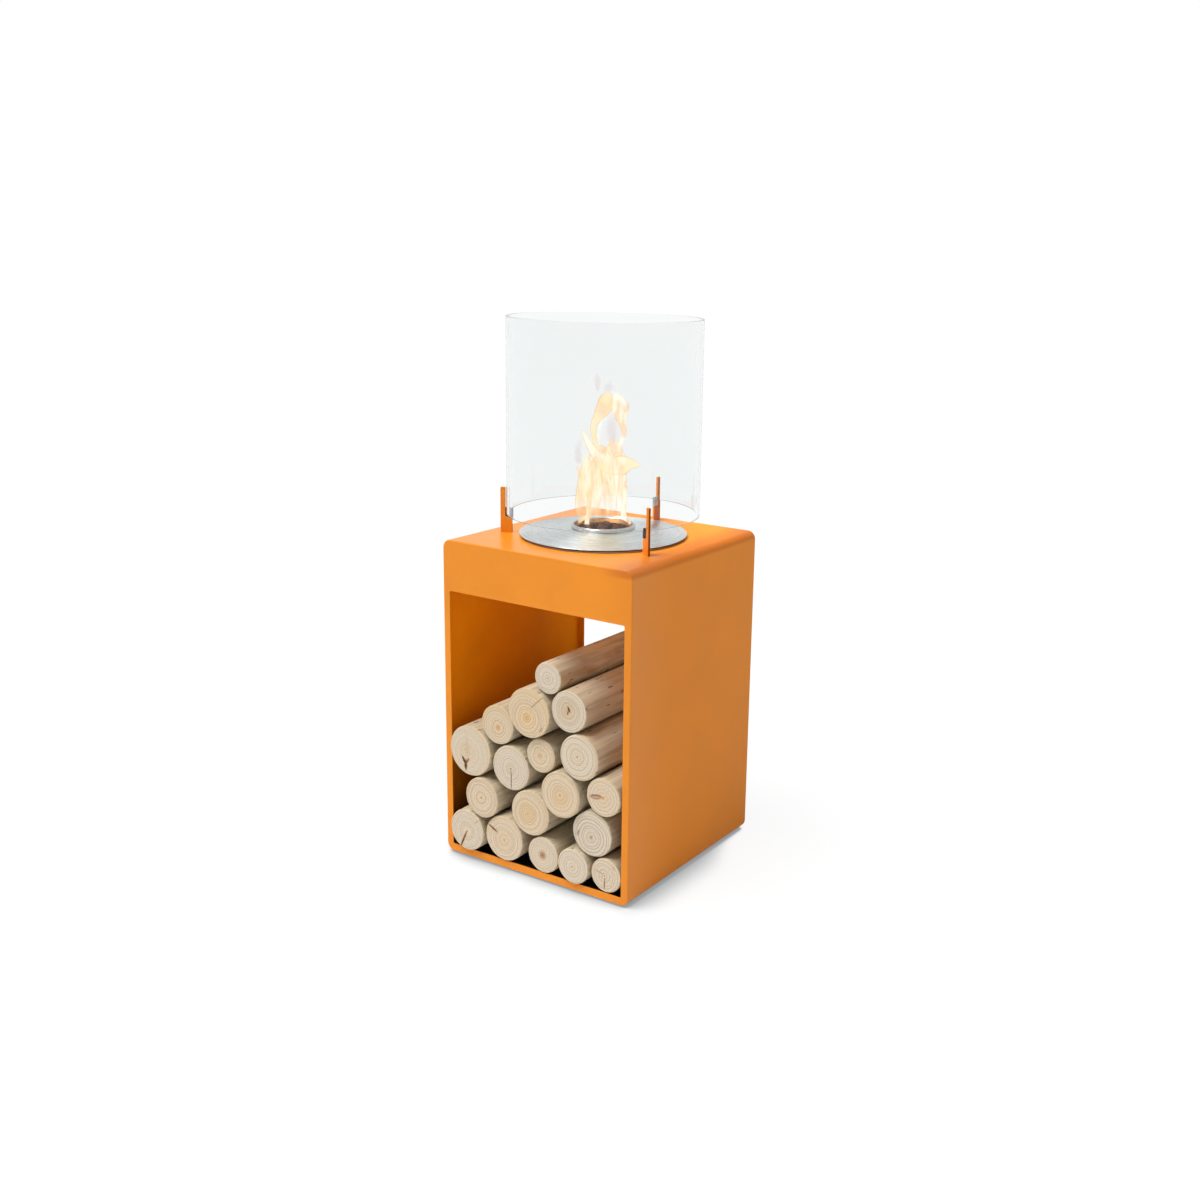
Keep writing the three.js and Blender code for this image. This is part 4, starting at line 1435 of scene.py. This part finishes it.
@dataclass
class LogStack:
    """The peeled logs in the bay."""

    effects: Effects
    looks: tuple[LogLook, ...] = (
        LogLook((0.0, -0.08), 0.15, rings=0.36, marks=(
            Mark((-0.2, -0.5), -114, 0.95, 0.1, RUST),
            Mark((-0.24, -0.6), -114, 0.6, 0.04),
            Mark((0.55, 0.5), 40, 0.3, 0.07, TAN, 0.7),
        )),
        LogLook((0.01, -0.07), 0.6, 0.3, 0.45, marks=(
            Mark((-0.59, 0.31), -26, 0.55, 0.13, TAN),
            Mark((-0.59, 0.31), -26, 0.45, 0.05),
        )),
        LogLook((-0.08, -0.05), 0.3, 0.15, marks=(
            Mark((-0.06, -0.5), -93, 0.62, 0.06, RUST),
            Mark((-0.42, 0.1), -12, 0.6, 0.05, TAN, 0.8),
            Mark((0.5, 0.6), 120, 0.4, 0.2, TAN, 0.4),
        )),
        LogLook((-0.04, -0.04), 0.15, 0.1, 0.2, 0.3),
        LogLook((-0.03, -0.02), 0.3, 0.2, 0.3, heart=2.2, marks=(
            Mark((-0.03, -0.02), 0, 0.36, 0.4, RUST, 0.8, 0.8),
        )),
        LogLook((-0.03, 0.0), 0.6, 0.3, 0.5, 0.35, heart=2.2),
        LogLook((-0.12, -0.06), 0.7, 0.5, 0.3, 0.4, marks=(
            patch((-0.1, -0.06), 0.9, 0.9, (0.66, 0.44, 0.22), 0.35),
        )),
        LogLook((-0.04, -0.15), 0.05, 0.05, 0.1, 0.42, heart=2.0, marks=(
            Mark((-0.7, -0.1), 75, 0.3, 0.1, (0.3, 0.24, 0.2), 0.8),
        )),
        LogLook((-0.15, -0.1), 0.35, 0.2, 0.3, 0.2, marks=(
            Mark((-0.15, 0.1), 92, 0.8, 0.2, (0.60, 0.42, 0.26), 0.5, 0.8),
            Mark((-0.22, -0.61), -88, 0.42, 0.13),
            Mark((-0.32, -0.42), 115, 0.3, 0.09),
            Mark((-0.12, -0.42), 60, 0.26, 0.08, RUST),
        )),
        LogLook((0.0, -0.03), 0.2, 0.1, 0.3, 0.3, marks=(Mark((0.03, -0.5), -89, 0.9, 0.035),)),
        LogLook((0.0, 0.0), 0.7, 0.45, 0.5, 0.35, marks=(
            patch((0.1, -0.2), 1.0, 0.8, (0.70, 0.47, 0.24), 0.3),
        )),
        LogLook((0.0, -0.02), 0.6, 0.35, 0.5, marks=(
            Mark((-0.43, -0.05), 10, 0.66, 0.24, RUST),
            Mark((-0.43, -0.05), 10, 0.5, 0.13, (0.50, 0.36, 0.24), 1.0, 0.6),
            Mark((0.0, -0.03), 0, 0.14, 0.14, (0.70, 0.30, 0.08), 1.0, 0.6),
        )),
        LogLook((-0.05, 0.0), 0.75, 0.35, 0.6, 0.35, marks=(
            patch((-0.05, 0.0), 0.2, 0.2, (0.62, 0.36, 0.18), 0.7),
        )),
        LogLook((-0.09, 0.03), 0.3, 0.15, 0.35, 0.34, stain=0.9),
        LogLook((0.04, -0.13), 0.8, 0.35, 0.8, 0.4, marks=(
            patch((0.04, -0.13), 0.22, 0.22, (0.62, 0.34, 0.16), 0.8),
        )),
        LogLook((-0.08, -0.2), 0.9, 0.75, 0.5, 0.36, heart=1.0, marks=(
            Mark((0.4, 0.5), 43, 0.8, 0.04, TAN),
            Mark((0.6, -0.55), 60, 0.3, 0.08, RUST, 0.6),
            patch((-0.08, -0.2), 0.3, 0.3, (0.60, 0.38, 0.16), 0.6),
        )),
        LogLook((-0.03, 0.04), 0.2, 0.1, 0.2, 0.36, marks=(
            Mark((-0.05, 0.06), 80, 0.9, 0.75, (0.56, 0.38, 0.22), 0.65, 0.9),
            Mark((0.02, 0.12), -65, 0.3, 0.09),
            Mark((-0.04, -0.06), 70, 0.2, 0.08, RUST),
        )),
        LogLook((0.0, 0.0), 0.15, 0.1, 0.3, 0.26, stain=0.9, marks=(Mark((0.9, 0.55), 100, 0.4, 0.2),)),
    )
    cool_end: Color = (0.70, 0.635, 0.54)
    warm_end: Color = (0.735, 0.605, 0.44)
    end_brown_color: Color = (0.60, 0.50, 0.35)
    roughness: float = 0.72
    end_rounding: float = 2.2 * MM
    end_steps: int = 3
    skin_room: float = 0.35 * MM
    sides: int = 44
    rounds: int = 26
    cap_rings: int = 2
    ring_width: float = 0.3
    seed_shift: tuple[float, float, float] = (7.3, 3.1, 1.7)
    hollow_scales: tuple[float, float, float] = (22.0, 4.0, 22.0)
    hollow_depth: float = 0.9 * MM
    knot_scales: tuple[float, float, float] = (70.0, 16.0, 70.0)
    knot_depth: float = 0.5 * MM
    saw_scale: float = 60.0
    saw_depth: float = 0.7 * MM
    saw_reach: float = 3 * MM

    def build(self) -> None:
        """Makes every log; the last one laid can be taken out."""
        for number, look in enumerate(self.looks, 1):
            body = Body.TOP_LOG if number == len(self.looks) else Body.BODY
            self.log(f"log_{number:02d}", number, look, body)

    def log(self, node: str, seed: int, look: LogLook, body: Body) -> None:
        """Makes one log, with hollows, low knots and eased ends, inside its CAD node.

        Args:
            node: The CAD node that it stands for.
            seed: Makes this log unlike the others.
            look: Its marks.
            body: The CAD body that it rides on.
        """
        low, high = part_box(node)
        centre = (low + high) / 2
        radius = min(high.x - low.x, high.z - low.z) / 2 - self.skin_room
        length = high.y - low.y
        work = Workpiece(f"peeled_{node}")
        bmesh.ops.create_cone(
            work.bm,
            cap_ends=True,
            segments=self.sides,
            radius1=radius,
            radius2=radius,
            depth=length,
            matrix=Matrix.Rotation(math.pi / 2, 4, "X"),
        )
        work.ease(self.end_rounding, self.end_steps)
        along = [e for e in work.bm.edges if abs(e.verts[0].co.y - e.verts[1].co.y) > length / 2]
        bmesh.ops.subdivide_edges(work.bm, edges=along, cuts=self.rounds, use_grid_fill=True)
        caps = [face for face in work.bm.faces if len(face.verts) > 4]
        for _ in range(self.cap_rings):
            width = radius * self.ring_width
            bmesh.ops.inset_region(work.bm, faces=caps, thickness=width, use_even_offset=True)
        for vert in work.bm.verts:
            self.weather(vert, radius, length, seed)
        bmesh.ops.translate(work.bm, verts=work.bm.verts, vec=centre)
        finish = self.finish_of(node, centre, radius, look)
        work.finish(body, Slot.WOOD, finish.material(self.effects), [node], crease=50)

    def weather(self, vert: bmesh.types.BMVert, radius: float, length: float, seed: int) -> None:
        """Moves a vertex a little inwards, so that the log is hand-peeled and its ends are sawn.

        Args:
            vert: The vertex.
            radius: The log's radius.
            length: The log's length.
            seed: Makes this log unlike the others.
        """
        place = vert.co
        shift = Vector([value * seed for value in self.seed_shift])
        slow, quick = (
            noise.noise(Vector(value * scale for value, scale in zip(place, scales)) + shift)
            for scales in (self.hollow_scales, self.knot_scales)
        )
        hollow = (0.5 + 0.5 * slow) * self.hollow_depth + abs(quick) * self.knot_depth
        around = Vector((place.x, 0.0, place.z))
        if around.length > 0:
            vert.co -= around.normalized() * hollow * min(1.0, around.length / radius)
        if length / 2 - abs(place.y) < self.saw_reach:
            rough = noise.noise(Vector((place.x * self.saw_scale, seed, place.z * self.saw_scale)))
            vert.co.y -= math.copysign((0.5 + 0.5 * rough) * self.saw_depth, place.y)

    def finish_of(self, node: str, centre: Vector, radius: float, look: LogLook) -> LogWood:
        """Chooses the finish of one log.

        Args:
            node: Its CAD node.
            centre: Its middle.
            radius: Its radius.
            look: Its marks.

        Returns:
            The finish.
        """
        return LogWood(
            name=f"wood_{node}",
            color=self.end_brown_color,
            roughness=self.roughness,
            centre=tuple(centre),
            radius=radius,
            pith=look.pith,
            ring_strength=look.rings,
            end_color=tuple(Vector(self.cool_end).lerp(Vector(self.warm_end), look.warmth)),
            gold=look.gold,
            rim=look.rim,
            heart_radius=look.heart * MM,
            marks=look.marks,
            stain=look.stain,
        )


@dataclass(frozen=True)
class Tongue:
    """One tongue of the flame: (aside, height, width) along its spine in millimetres, depth and twist."""

    stops: tuple[tuple[float, float, float], ...]
    depth: float = 0.0
    heat: Heat = Heat.BODY
    twist: float = 14.0

    def at(self, share: float) -> Vector:
        """Follows the spine along a smooth curve through its stops.

        Args:
            share: How far along it, from 0 to 1.

        Returns:
            The place and the width there.
        """
        last = len(self.stops) - 1
        position = share * last
        i = min(int(position), last - 1)
        t = position - i
        picks = [max(0, i - 1), i, i + 1, min(last, i + 2)]
        weights = (
            (-t + 2 * t * t - t**3) / 2,
            (2 - 5 * t * t + 3 * t**3) / 2,
            (t + 4 * t * t - 3 * t**3) / 2,
            (t**3 - t * t) / 2,
        )
        return sum((Vector(self.stops[p]) * w for p, w in zip(picks, weights)), Vector())

    def across(self, share: float, step: float = 0.02) -> Vector:
        """Finds the level direction across the spine.

        Args:
            share: How far along it, from 0 to 1.
            step: How far off its neighbours are taken.

        Returns:
            The direction as (aside, height).
        """
        along = self.at(min(1.0, share + step)) - self.at(max(0.0, share - step))
        return Vector((along.y, -along.x)).normalized()


@dataclass
class Flame:
    """The flame: thin curved tongues, some of which cross the others, to give depth from every side."""

    effects: Effects
    facing: float = math.radians(32.2)
    tongues: tuple[Tongue, ...] = (
        Tongue((
            (-33, -3, 20), (-37, 23, 28), (-37, 41, 30), (-35, 59, 30),
            (-33, 77, 30), (-32, 95, 23), (-32, 113, 10), (-32, 128, 1),
        ), 14),
        Tongue(((-32, 52, 12), (-38, 74, 14), (-42, 89, 10), (-47, 98, 5), (-52, 104, 1)), 18),
        Tongue((
            (8, 86, 18), (-4, 106, 20), (-15, 123, 18), (-24, 137, 15), (-31, 150, 11), (-39, 167, 1.5),
        ), -4, Heat.LICK),
        Tongue((
            (-18, -3, 14), (-20, 23, 22), (-18, 50, 30), (-15, 77, 40),
            (-11, 104, 44), (-8, 123, 40), (-5, 138, 14), (-4, 143, 2),
        ), 20),
        Tongue((
            (12, -3, 18), (12, 23, 22), (12, 50, 28), (12, 77, 36),
            (12, 104, 44), (14, 123, 42), (16, 139, 30), (13, 148, 13), (11, 154, 2),
        ), 17),
        Tongue((
            (31, -3, 16), (30, 23, 19), (30, 50, 22), (28, 77, 26),
            (27, 102, 28), (27, 120, 22), (27, 133, 12), (25, 143, 1),
        ), 19),
        Tongue((
            (-2, 98, 14), (16, 101, 30), (32, 105, 38), (46, 107, 24), (57, 106, 11), (67, 104, 1),
        ), -6, Heat.LICK),
        Tongue(((38, 5, 14), (35, 23, 10), (38, 44, 8), (38, 62, 8), (38, 78, 2)), -4, Heat.PALE),
        Tongue((
            (-6, 118, 7), (-14, 140, 9), (-19, 160, 11), (-18, 177, 14),
            (-8, 195, 23), (0, 210, 29), (4, 223, 25), (7, 235, 4),
        ), 1, Heat.PEACH),
        Tongue((
            (22, 126, 8), (30, 147, 10), (34, 163, 11), (32, 178, 13),
            (28, 191, 22), (28, 204, 30), (25, 217, 28), (15, 236, 4),
        ), -1, Heat.PALE),
        Tongue((
            (-8, 128, 7), (-10, 150, 9), (-8, 168, 11), (-4, 181, 12), (5, 190, 12), (18, 195, 6),
        ), -2, Heat.GLOW),
        Tongue((
            (-26, 135, 8), (-13, 123, 20), (0, 117, 27), (12, 111, 28),
            (19, 99, 25), (19, 82, 18), (17, 58, 8),
        ), -12, Heat.GLOW),
        Tongue(((-34, 128, 8), (-31, 106, 16), (-30, 84, 19), (-29, 60, 16), (-28, 34, 8)), -12, Heat.GLOW),
        Tongue(((15, 86, 8), (21, 60, 14), (28, 38, 14), (36, 14, 14), (43, -2, 8)), -11, Heat.GLOW),
        Tongue(((5, 82, 8), (-3, 58, 13), (-12, 40, 13), (-24, 18, 12), (-31, -5, 10)), -11, Heat.GLOW),
        Tongue(((-29, -5, 9), (-28, 6, 8), (-26, 22, 4), (-26, 38, 2)), -12, Heat.PALE),
        Tongue(((-44, -2, 5), (-38, 6, 8), (-30, 10, 8), (-20, 16, 2)), -12, Heat.PEACH),
        Tongue(((50, -2, 4), (42, 7, 8), (31, 11, 7), (18, 13, 2)), -12, Heat.PALE),
        Tongue(((9, 14, 5), (8, 26, 7), (8, 42, 7), (10, 60, 2)), -11, Heat.GLOW),
        Tongue(((-15, 120, 5), (-14, 103, 16), (-13, 84, 7)), -11, Heat.BLUSH),
        Tongue(((1, 92, 5), (1, 66, 11), (2, 42, 11), (3, 16, 4)), -10, Heat.BLUSH),
        Tongue(((36, 108, 6), (31, 88, 16), (31, 66, 12), (30, 46, 4)), -10, Heat.BLUSH),
        Tongue(((-38, 98, 6), (-41, 70, 15), (-41, 42, 15), (-39, 14, 6)), -9, Heat.BLUSH),
        Tongue(((4, 232, 8), (6, 214, 18), (0, 196, 10)), -4, Heat.BLUSH),
        Tongue(((16, 142, 18), (15, 165, 34), (13, 182, 30), (12, 198, 10)), 2, Heat.HAZE),
        Tongue(((-12, 233, 6), (-13, 246, 14), (-14, 258, 15), (-15, 270, 3)), 0, Heat.HAZE),
        Tongue(((2, 232, 12), (8, 243, 22), (11, 254, 4)), 0, Heat.HAZE),
        Tongue(((-44, 104, 12), (-46, 122, 18), (-44, 140, 15), (-39, 158, 4)), 4, Heat.HAZE),
    )
    crossing: int = 7
    cross_angle: float = math.radians(64)
    cross_shrink: Span = (0.66, 0.8)
    rows: int = 36
    columns: int = 8
    least_width: float = 0.3
    bow: float = 0.2
    look_down: float = 0.22

    def build(self) -> None:
        """Makes the tongues that face the front corner, and lower, narrower ones that cross them."""
        fires = self.fires()
        for number, tongue in enumerate(self.tongues, 1):
            self.sheet(f"flame_{number}", tongue, 0.0, (1.0, 1.0), fires[tongue.heat])
        for number, tongue in enumerate(self.tongues[: self.crossing], 1):
            name = f"flame_cross_{number}"
            self.sheet(name, tongue, self.cross_angle, self.cross_shrink, fires[Heat.CORE])

    def fires(self) -> dict[Heat, Material]:
        """Makes the materials of the kinds of flame.

        Returns:
            A material for each kind.
        """
        looks: dict[Heat, dict[str, Any]] = {
            Heat.BODY: {"density": 0.9, "line": 0.7, "root": 0.34},
            Heat.PEACH: {"middle": (1.0, 0.74, 0.42), "core": (1.0, 0.83, 0.50)},
            Heat.PALE: {"middle": (1.0, 0.92, 0.70), "core": (1.0, 0.97, 0.84), "line": 0.5},
            Heat.GLOW: {
                "density": 0.6,
                "ember": (1.0, 0.90, 0.66),
                "middle": (1.0, 0.96, 0.80),
                "core": (1.0, 0.99, 0.92),
                "line": 0.0,
                "softness": 0.95,
                "root": 0.3,
            },
            Heat.BLUSH: {
                "density": 0.7,
                "ember": (1.0, 0.60, 0.33),
                "middle": (1.0, 0.70, 0.43),
                "core": (1.0, 0.78, 0.52),
                "line": 0.0,
                "softness": 0.95,
                "root": 0.3,
            },
            Heat.LICK: {"density": 0.9, "line": 0.7, "root": 0.5},
            Heat.CORE: {"density": 0.8, "line": 0.25, "softness": 0.5, "root": 0.34},
            Heat.HAZE: {
                "glow": 0.92,
                "density": 0.6,
                "line": 0.0,
                "softness": 0.95,
                "core": (0.92, 0.84, 0.86),
                "middle": (0.92, 0.78, 0.78),
                "ember": (0.9, 0.72, 0.70),
                "edge": (0.9, 0.74, 0.72),
            },
        }
        return {
            heat: Fire(f"flame_{heat.value}", **look).material(self.effects)
            for heat, look in looks.items()
        }

    def sheet(self, name: str, tongue: Tongue, turn: float, shrink: Span, fire: Material) -> None:
        """Makes one curved sheet along a tongue's spine.

        Args:
            name: The piece's name.
            tongue: The tongue that it follows.
            turn: How far the tongue is turned about the burner's axis.
            shrink: What its reach and its height are multiplied by.
            fire: The flame's material.
        """
        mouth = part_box("fuel_canister")[1].z
        work = Workpiece(name)
        work.bm.loops.layers.uv.new("flame")
        bmesh.ops.create_grid(
            work.bm, x_segments=self.columns, y_segments=self.rows, size=0.5, calc_uvs=True
        )
        yaw = self.facing + turn
        right = Vector((math.cos(yaw), math.sin(yaw), 0.0))
        away = Vector((-math.sin(yaw), math.cos(yaw), 0.0))
        for vert in work.bm.verts:
            aside, share = vert.co.x, vert.co.y + 0.5
            spot, way = tongue.at(share), tongue.across(share)
            reach = aside * max(spot.z, self.least_width)
            twist = math.radians(tongue.twist) * (share - 0.5)
            hollow = self.bow * spot.z * math.cos(math.pi * aside) + tongue.depth
            level = spot.x + reach * way.x * math.cos(twist)
            back = hollow + reach * way.x * math.sin(twist)
            height = (spot.y + reach * way.y) * shrink[1]
            vert.co = (right * level * shrink[0] + away * back + Vector((0.0, 0.0, height))) * MM
            vert.co.z += mouth - self.look_down * tongue.depth * MM
        piece = work.finish(Body.CANISTER, Slot.POLISHED, fire, crease=180)
        piece.visible_shadow = False


@dataclass
class PlainParts:
    """CAD nodes whose own shape is right, and which only get a finish."""

    finishes: Finishes
    nodes: dict[str, Slot] = field(
        default_factory=lambda: {
            "fuel_wool": Slot.WOOL,
            "stone_grate": Slot.ZINC,
            **{f"foot_{i}": Slot.SEAL for i in range(1, 5)},
            **{f"ceiling_screw_{i}": Slot.ZINC for i in range(1, 5)},
        }
    )

    def build(self) -> None:
        """Gives each node its finish."""
        for node, slot in self.nodes.items():
            for material_slot in bpy.data.objects[node].material_slots:
                material_slot.material = self.finishes[slot]
            logger.info("%s: CAD shape, %s", node, slot.value)


# Studio


@dataclass(frozen=True)
class PhotoCamera:
    """The camera of the photograph, worked out from the body's edges."""

    azimuth: float = math.radians(32.226)
    elevation: float = math.radians(13.051)
    roll: float = math.radians(1.332)
    distance: float = 2.348215
    target: tuple[float, float, float] = (0.154629, 0.0, 0.567254)
    focal_pixels: float = 1357.884
    axis_pixels: tuple[float, float] = (675.973, 556.801)
    frame_pixels: float = 1200.0
    sensor: float = 36.0
    sight: float = 100.0

    def build(self) -> None:
        """Makes the camera and gives it to the scene."""
        data = bpy.data.cameras.new("photo_camera")
        data.sensor_width = self.sensor
        data.lens = self.focal_pixels / self.frame_pixels * self.sensor
        data.shift_x = 0.5 - self.axis_pixels[0] / self.frame_pixels
        data.shift_y = self.axis_pixels[1] / self.frame_pixels - 0.5
        data.clip_end = self.sight
        camera = bpy.data.objects.new("photo_camera", data)
        camera.matrix_world = self.pose()
        bpy.context.scene.collection.objects.link(camera)
        bpy.context.scene.camera = camera

    def pose(self) -> Matrix:
        """Works out the camera's place and turn.

        Returns:
            Its matrix.
        """
        level = math.cos(self.elevation)
        right = Vector((math.cos(self.azimuth), math.sin(self.azimuth), 0.0))
        back = Vector((right.y * level, -right.x * level, math.sin(self.elevation)))
        up = back.cross(right)
        rolled_right = right * math.cos(self.roll) + up * math.sin(self.roll)
        rolled_up = up * math.cos(self.roll) - right * math.sin(self.roll)
        turn = Matrix((rolled_right, rolled_up, back)).transposed().to_4x4()
        return Matrix.Translation(Vector(self.target) + back * self.distance) @ turn


@dataclass(frozen=True)
class Studio:
    """A white floor, a white surround and one wide soft lamp."""

    ambient: float = 0.42
    lamp_strength: float = 2.72
    lamp_spread: float = math.radians(32)
    lamp_tilt: tuple[float, float, float] = (math.radians(25.5), 0.0, math.radians(-34))
    floor_reach: float = 30.0
    floor_color: Color = (0.88, 0.90, 0.91)
    floor_share: float = 0.1
    floor_level: float = 0.91
    contact_reach: float = 0.08
    contact_samples: int = 16
    painted_shadow_color: Color = (0.30, 0.325, 0.335)
    covered_level: float = 0.3
    open_levels: tuple[float, float, float] = (0.77, 0.97, 0.52)
    rear_reach: Span = (0.0, 0.17)
    right_reach: Span = (0.17, 0.21)

    def build(self) -> None:
        """Makes the floor, the lamp and the world."""
        bpy.context.scene.view_settings.view_transform = "Standard"
        self.floor()
        self.lamp()
        self.world()

    def floor(self) -> None:
        """Makes the floor, which the camera sees white but for the object's shadow: mostly painted into its
        glow near the body, with a faint share of real shadow.
        """
        mesh = bpy.data.meshes.new("floor")
        bm = bmesh.new()
        bmesh.ops.create_grid(bm, x_segments=1, y_segments=1, size=self.floor_reach)
        bm.to_mesh(mesh)
        bm.free()
        material = bpy.data.materials.new("floor")
        surface = Surface(material)
        seen = self.seen(surface)
        surface.feed(
            {
                "Base Color": surface.mix(seen, self.floor_color, (self.floor_share,) * 3),
                "Roughness": 1.0,
                "Specular IOR Level": 0.0,
                # painted shadow: the glow turns to the shadow colour near the body
                "Emission Color": surface.mix(self.openness(surface), self.painted_shadow_color, WHITE),
                "Emission Strength": surface.times(seen, self.floor_level),
            }
        )
        mesh.materials.append(material)
        floor = bpy.data.objects.new("floor", mesh)
        bpy.context.scene.collection.objects.link(floor)

    def openness(self, surface: Surface) -> Socket:
        """Measures how clear of the body a place on the floor is, which sets the painted contact shadow;
        each side has its own level of clear.

        Args:
            surface: The floor's material.

        Returns:
            A value from 0, under the body, to 1, clear of it.
        """
        reach = {"Distance": self.contact_reach}
        open_sky = surface.add("AmbientOcclusion", reach, samples=self.contact_samples).outputs["AO"]
        place = surface.axes(surface.place)
        front, right, rear = self.open_levels
        beside = surface.between(surface.remap(place["Y"], *self.rear_reach), right, rear)
        full = surface.between(surface.remap(place["X"], *self.right_reach), front, beside)
        span = surface.math("SUBTRACT", full, self.covered_level)
        share = surface.math("DIVIDE", surface.math("SUBTRACT", open_sky, self.covered_level), span)
        return surface.remap(share, 0.0, 1.0)

    @staticmethod
    def seen(bench: Bench) -> Socket:
        """Tells seen rays, which come from the camera, a mirror or through glass, from others.

        Args:
            bench: The tree that it is wired in.

        Returns:
            1 on seen rays and 0 on others.
        """
        path = bench.add("LightPath").outputs
        mirrored = bench.plus(path["Is Camera Ray"], path["Is Glossy Ray"])
        return bench.math("MINIMUM", bench.plus(mirrored, path["Is Transmission Ray"]), 1.0)

    def lamp(self) -> None:
        """Makes the lamp, high on the left in front."""
        data = bpy.data.lights.new("wide_lamp", "SUN")
        data.energy = self.lamp_strength
        data.angle = self.lamp_spread
        lamp = bpy.data.objects.new("wide_lamp", data)
        lamp.rotation_euler = self.lamp_tilt
        bpy.context.scene.collection.objects.link(lamp)

    def world(self) -> None:
        """Makes a surround that is white where it is seen and gives a plain level elsewhere."""
        world = bpy.data.worlds.new("surround")
        world.use_nodes = True
        bpy.context.scene.world = world
        bench = Bench(world.node_tree)
        level = bench.between(self.seen(bench), self.ambient, 1.0)
        bench.fill(world.node_tree.nodes["Background"], {"Color": WHITE, "Strength": level})


def shared_finishes(effects: Effects) -> Finishes:
    """Makes the finishes that several pieces share.

    Args:
        effects: The shared node groups.

    Returns:
        A material for each slot and trim.
    """
    matt = {"roughness": 0.85, "cloud": 0.06, "index": 1.12}
    finishes = {
        # painted shade in a deeper colour on the right of the top and its bend
        Slot.COAT: Coat(
            "powder_coat", (0.82, 0.262, 0.012), 0.34, cloud=0.03, index=1.34, far_matt=0.26, painted_far_shade=0.62
        ),
        # painted shade: the bay floor liner's black stands for the deep shade there
        Slot.BLACK: Coat("black_coat", (0.012, 0.011, 0.011), 0.6, cloud=0.2, cloud_scale=25.0),
        Slot.BRUSHED: TurnedSteel("brushed_plate", (0.605, 0.63, 0.63), 0.30, anisotropy=0.82),
        Slot.POLISHED: TurnedSteel(
            "turned_ring", (0.52, 0.525, 0.51), 0.32, line_pitch=0.4 * MM, line_depth=0.01 * MM
        ),
        Slot.ZINC: TurnedSteel("zinc_sheet", (0.48, 0.49, 0.5), 0.4, line_pitch=2 * MM, anisotropy=0.2),
        Slot.SEAL: Coat("silicone", (0.012, 0.012, 0.013), 0.6, cloud=0.15, cloud_scale=60.0),
        Slot.WOOL: Wool("ceramic_wool", (0.72, 0.70, 0.66), 0.95),
        Slot.STONE: Rock("dark_stone", (0.075, 0.030, 0.016), 0.9),
        Slot.GLASS: ClearGlass("clear_glass", (0.918, 0.936, 0.934), 0.0),
        # painted shade that darkens the lining low in the bay
        Trim.LINING: Coat(
            "inner_coat", (0.95, 0.275, 0.001), 0.8, cloud=0.06, index=1.15, painted_low_shade=0.75, bounce=0.6
        ),
        # heat tint, with a painted glow of the flame on it
        Trim.HEAT_TINT_AND_GLOW: TurnedSteel("heat_tinted_and_glow_painted_steel", (0.34, 0.16, 0.06), 0.5, anisotropy=0.3),
        # painted shade on the brackets' right-hand faces; the rear one less dark
        Trim.PAINTED_SHADE_SIDE: Coat("painted_shade_side_coat", (0.28, 0.07, 0.002), **matt),
        Trim.REAR_PAINTED_SHADE_SIDE: Coat("rear_painted_shade_side_coat", (0.50, 0.14, 0.003), **matt),
        Trim.PALE_SHOE: Coat("pale_silicone", (0.36, 0.36, 0.40), 0.5, cloud=0.25, cloud_scale=60.0),
    }
    return {use: finish.material(effects) for use, finish in finishes.items()}


def corners(bounds: Iterable[Vector]) -> list[list[float]]:
    """Returns a box's corners as plain lists."""
    return [list(corner) for corner in bounds]


def main() -> None:
    """Loads the frame, sets up the camera and the studio, and dresses each sub-assembly."""
    logging.basicConfig(level=logging.INFO, format="%(message)s")
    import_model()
    PhotoCamera().build()
    Studio().build()
    effects = Effects()
    finishes = shared_finishes(effects)
    for assembly in (
        BodyShell(finishes),
        Burner(finishes),
        GlassHolder(finishes),
        LogStack(effects),
        Flame(effects),
        PlainParts(finishes),
    ):
        logger.info("building %s", type(assembly).__name__)
        assembly.build()


if __name__ == "__main__":
    main()
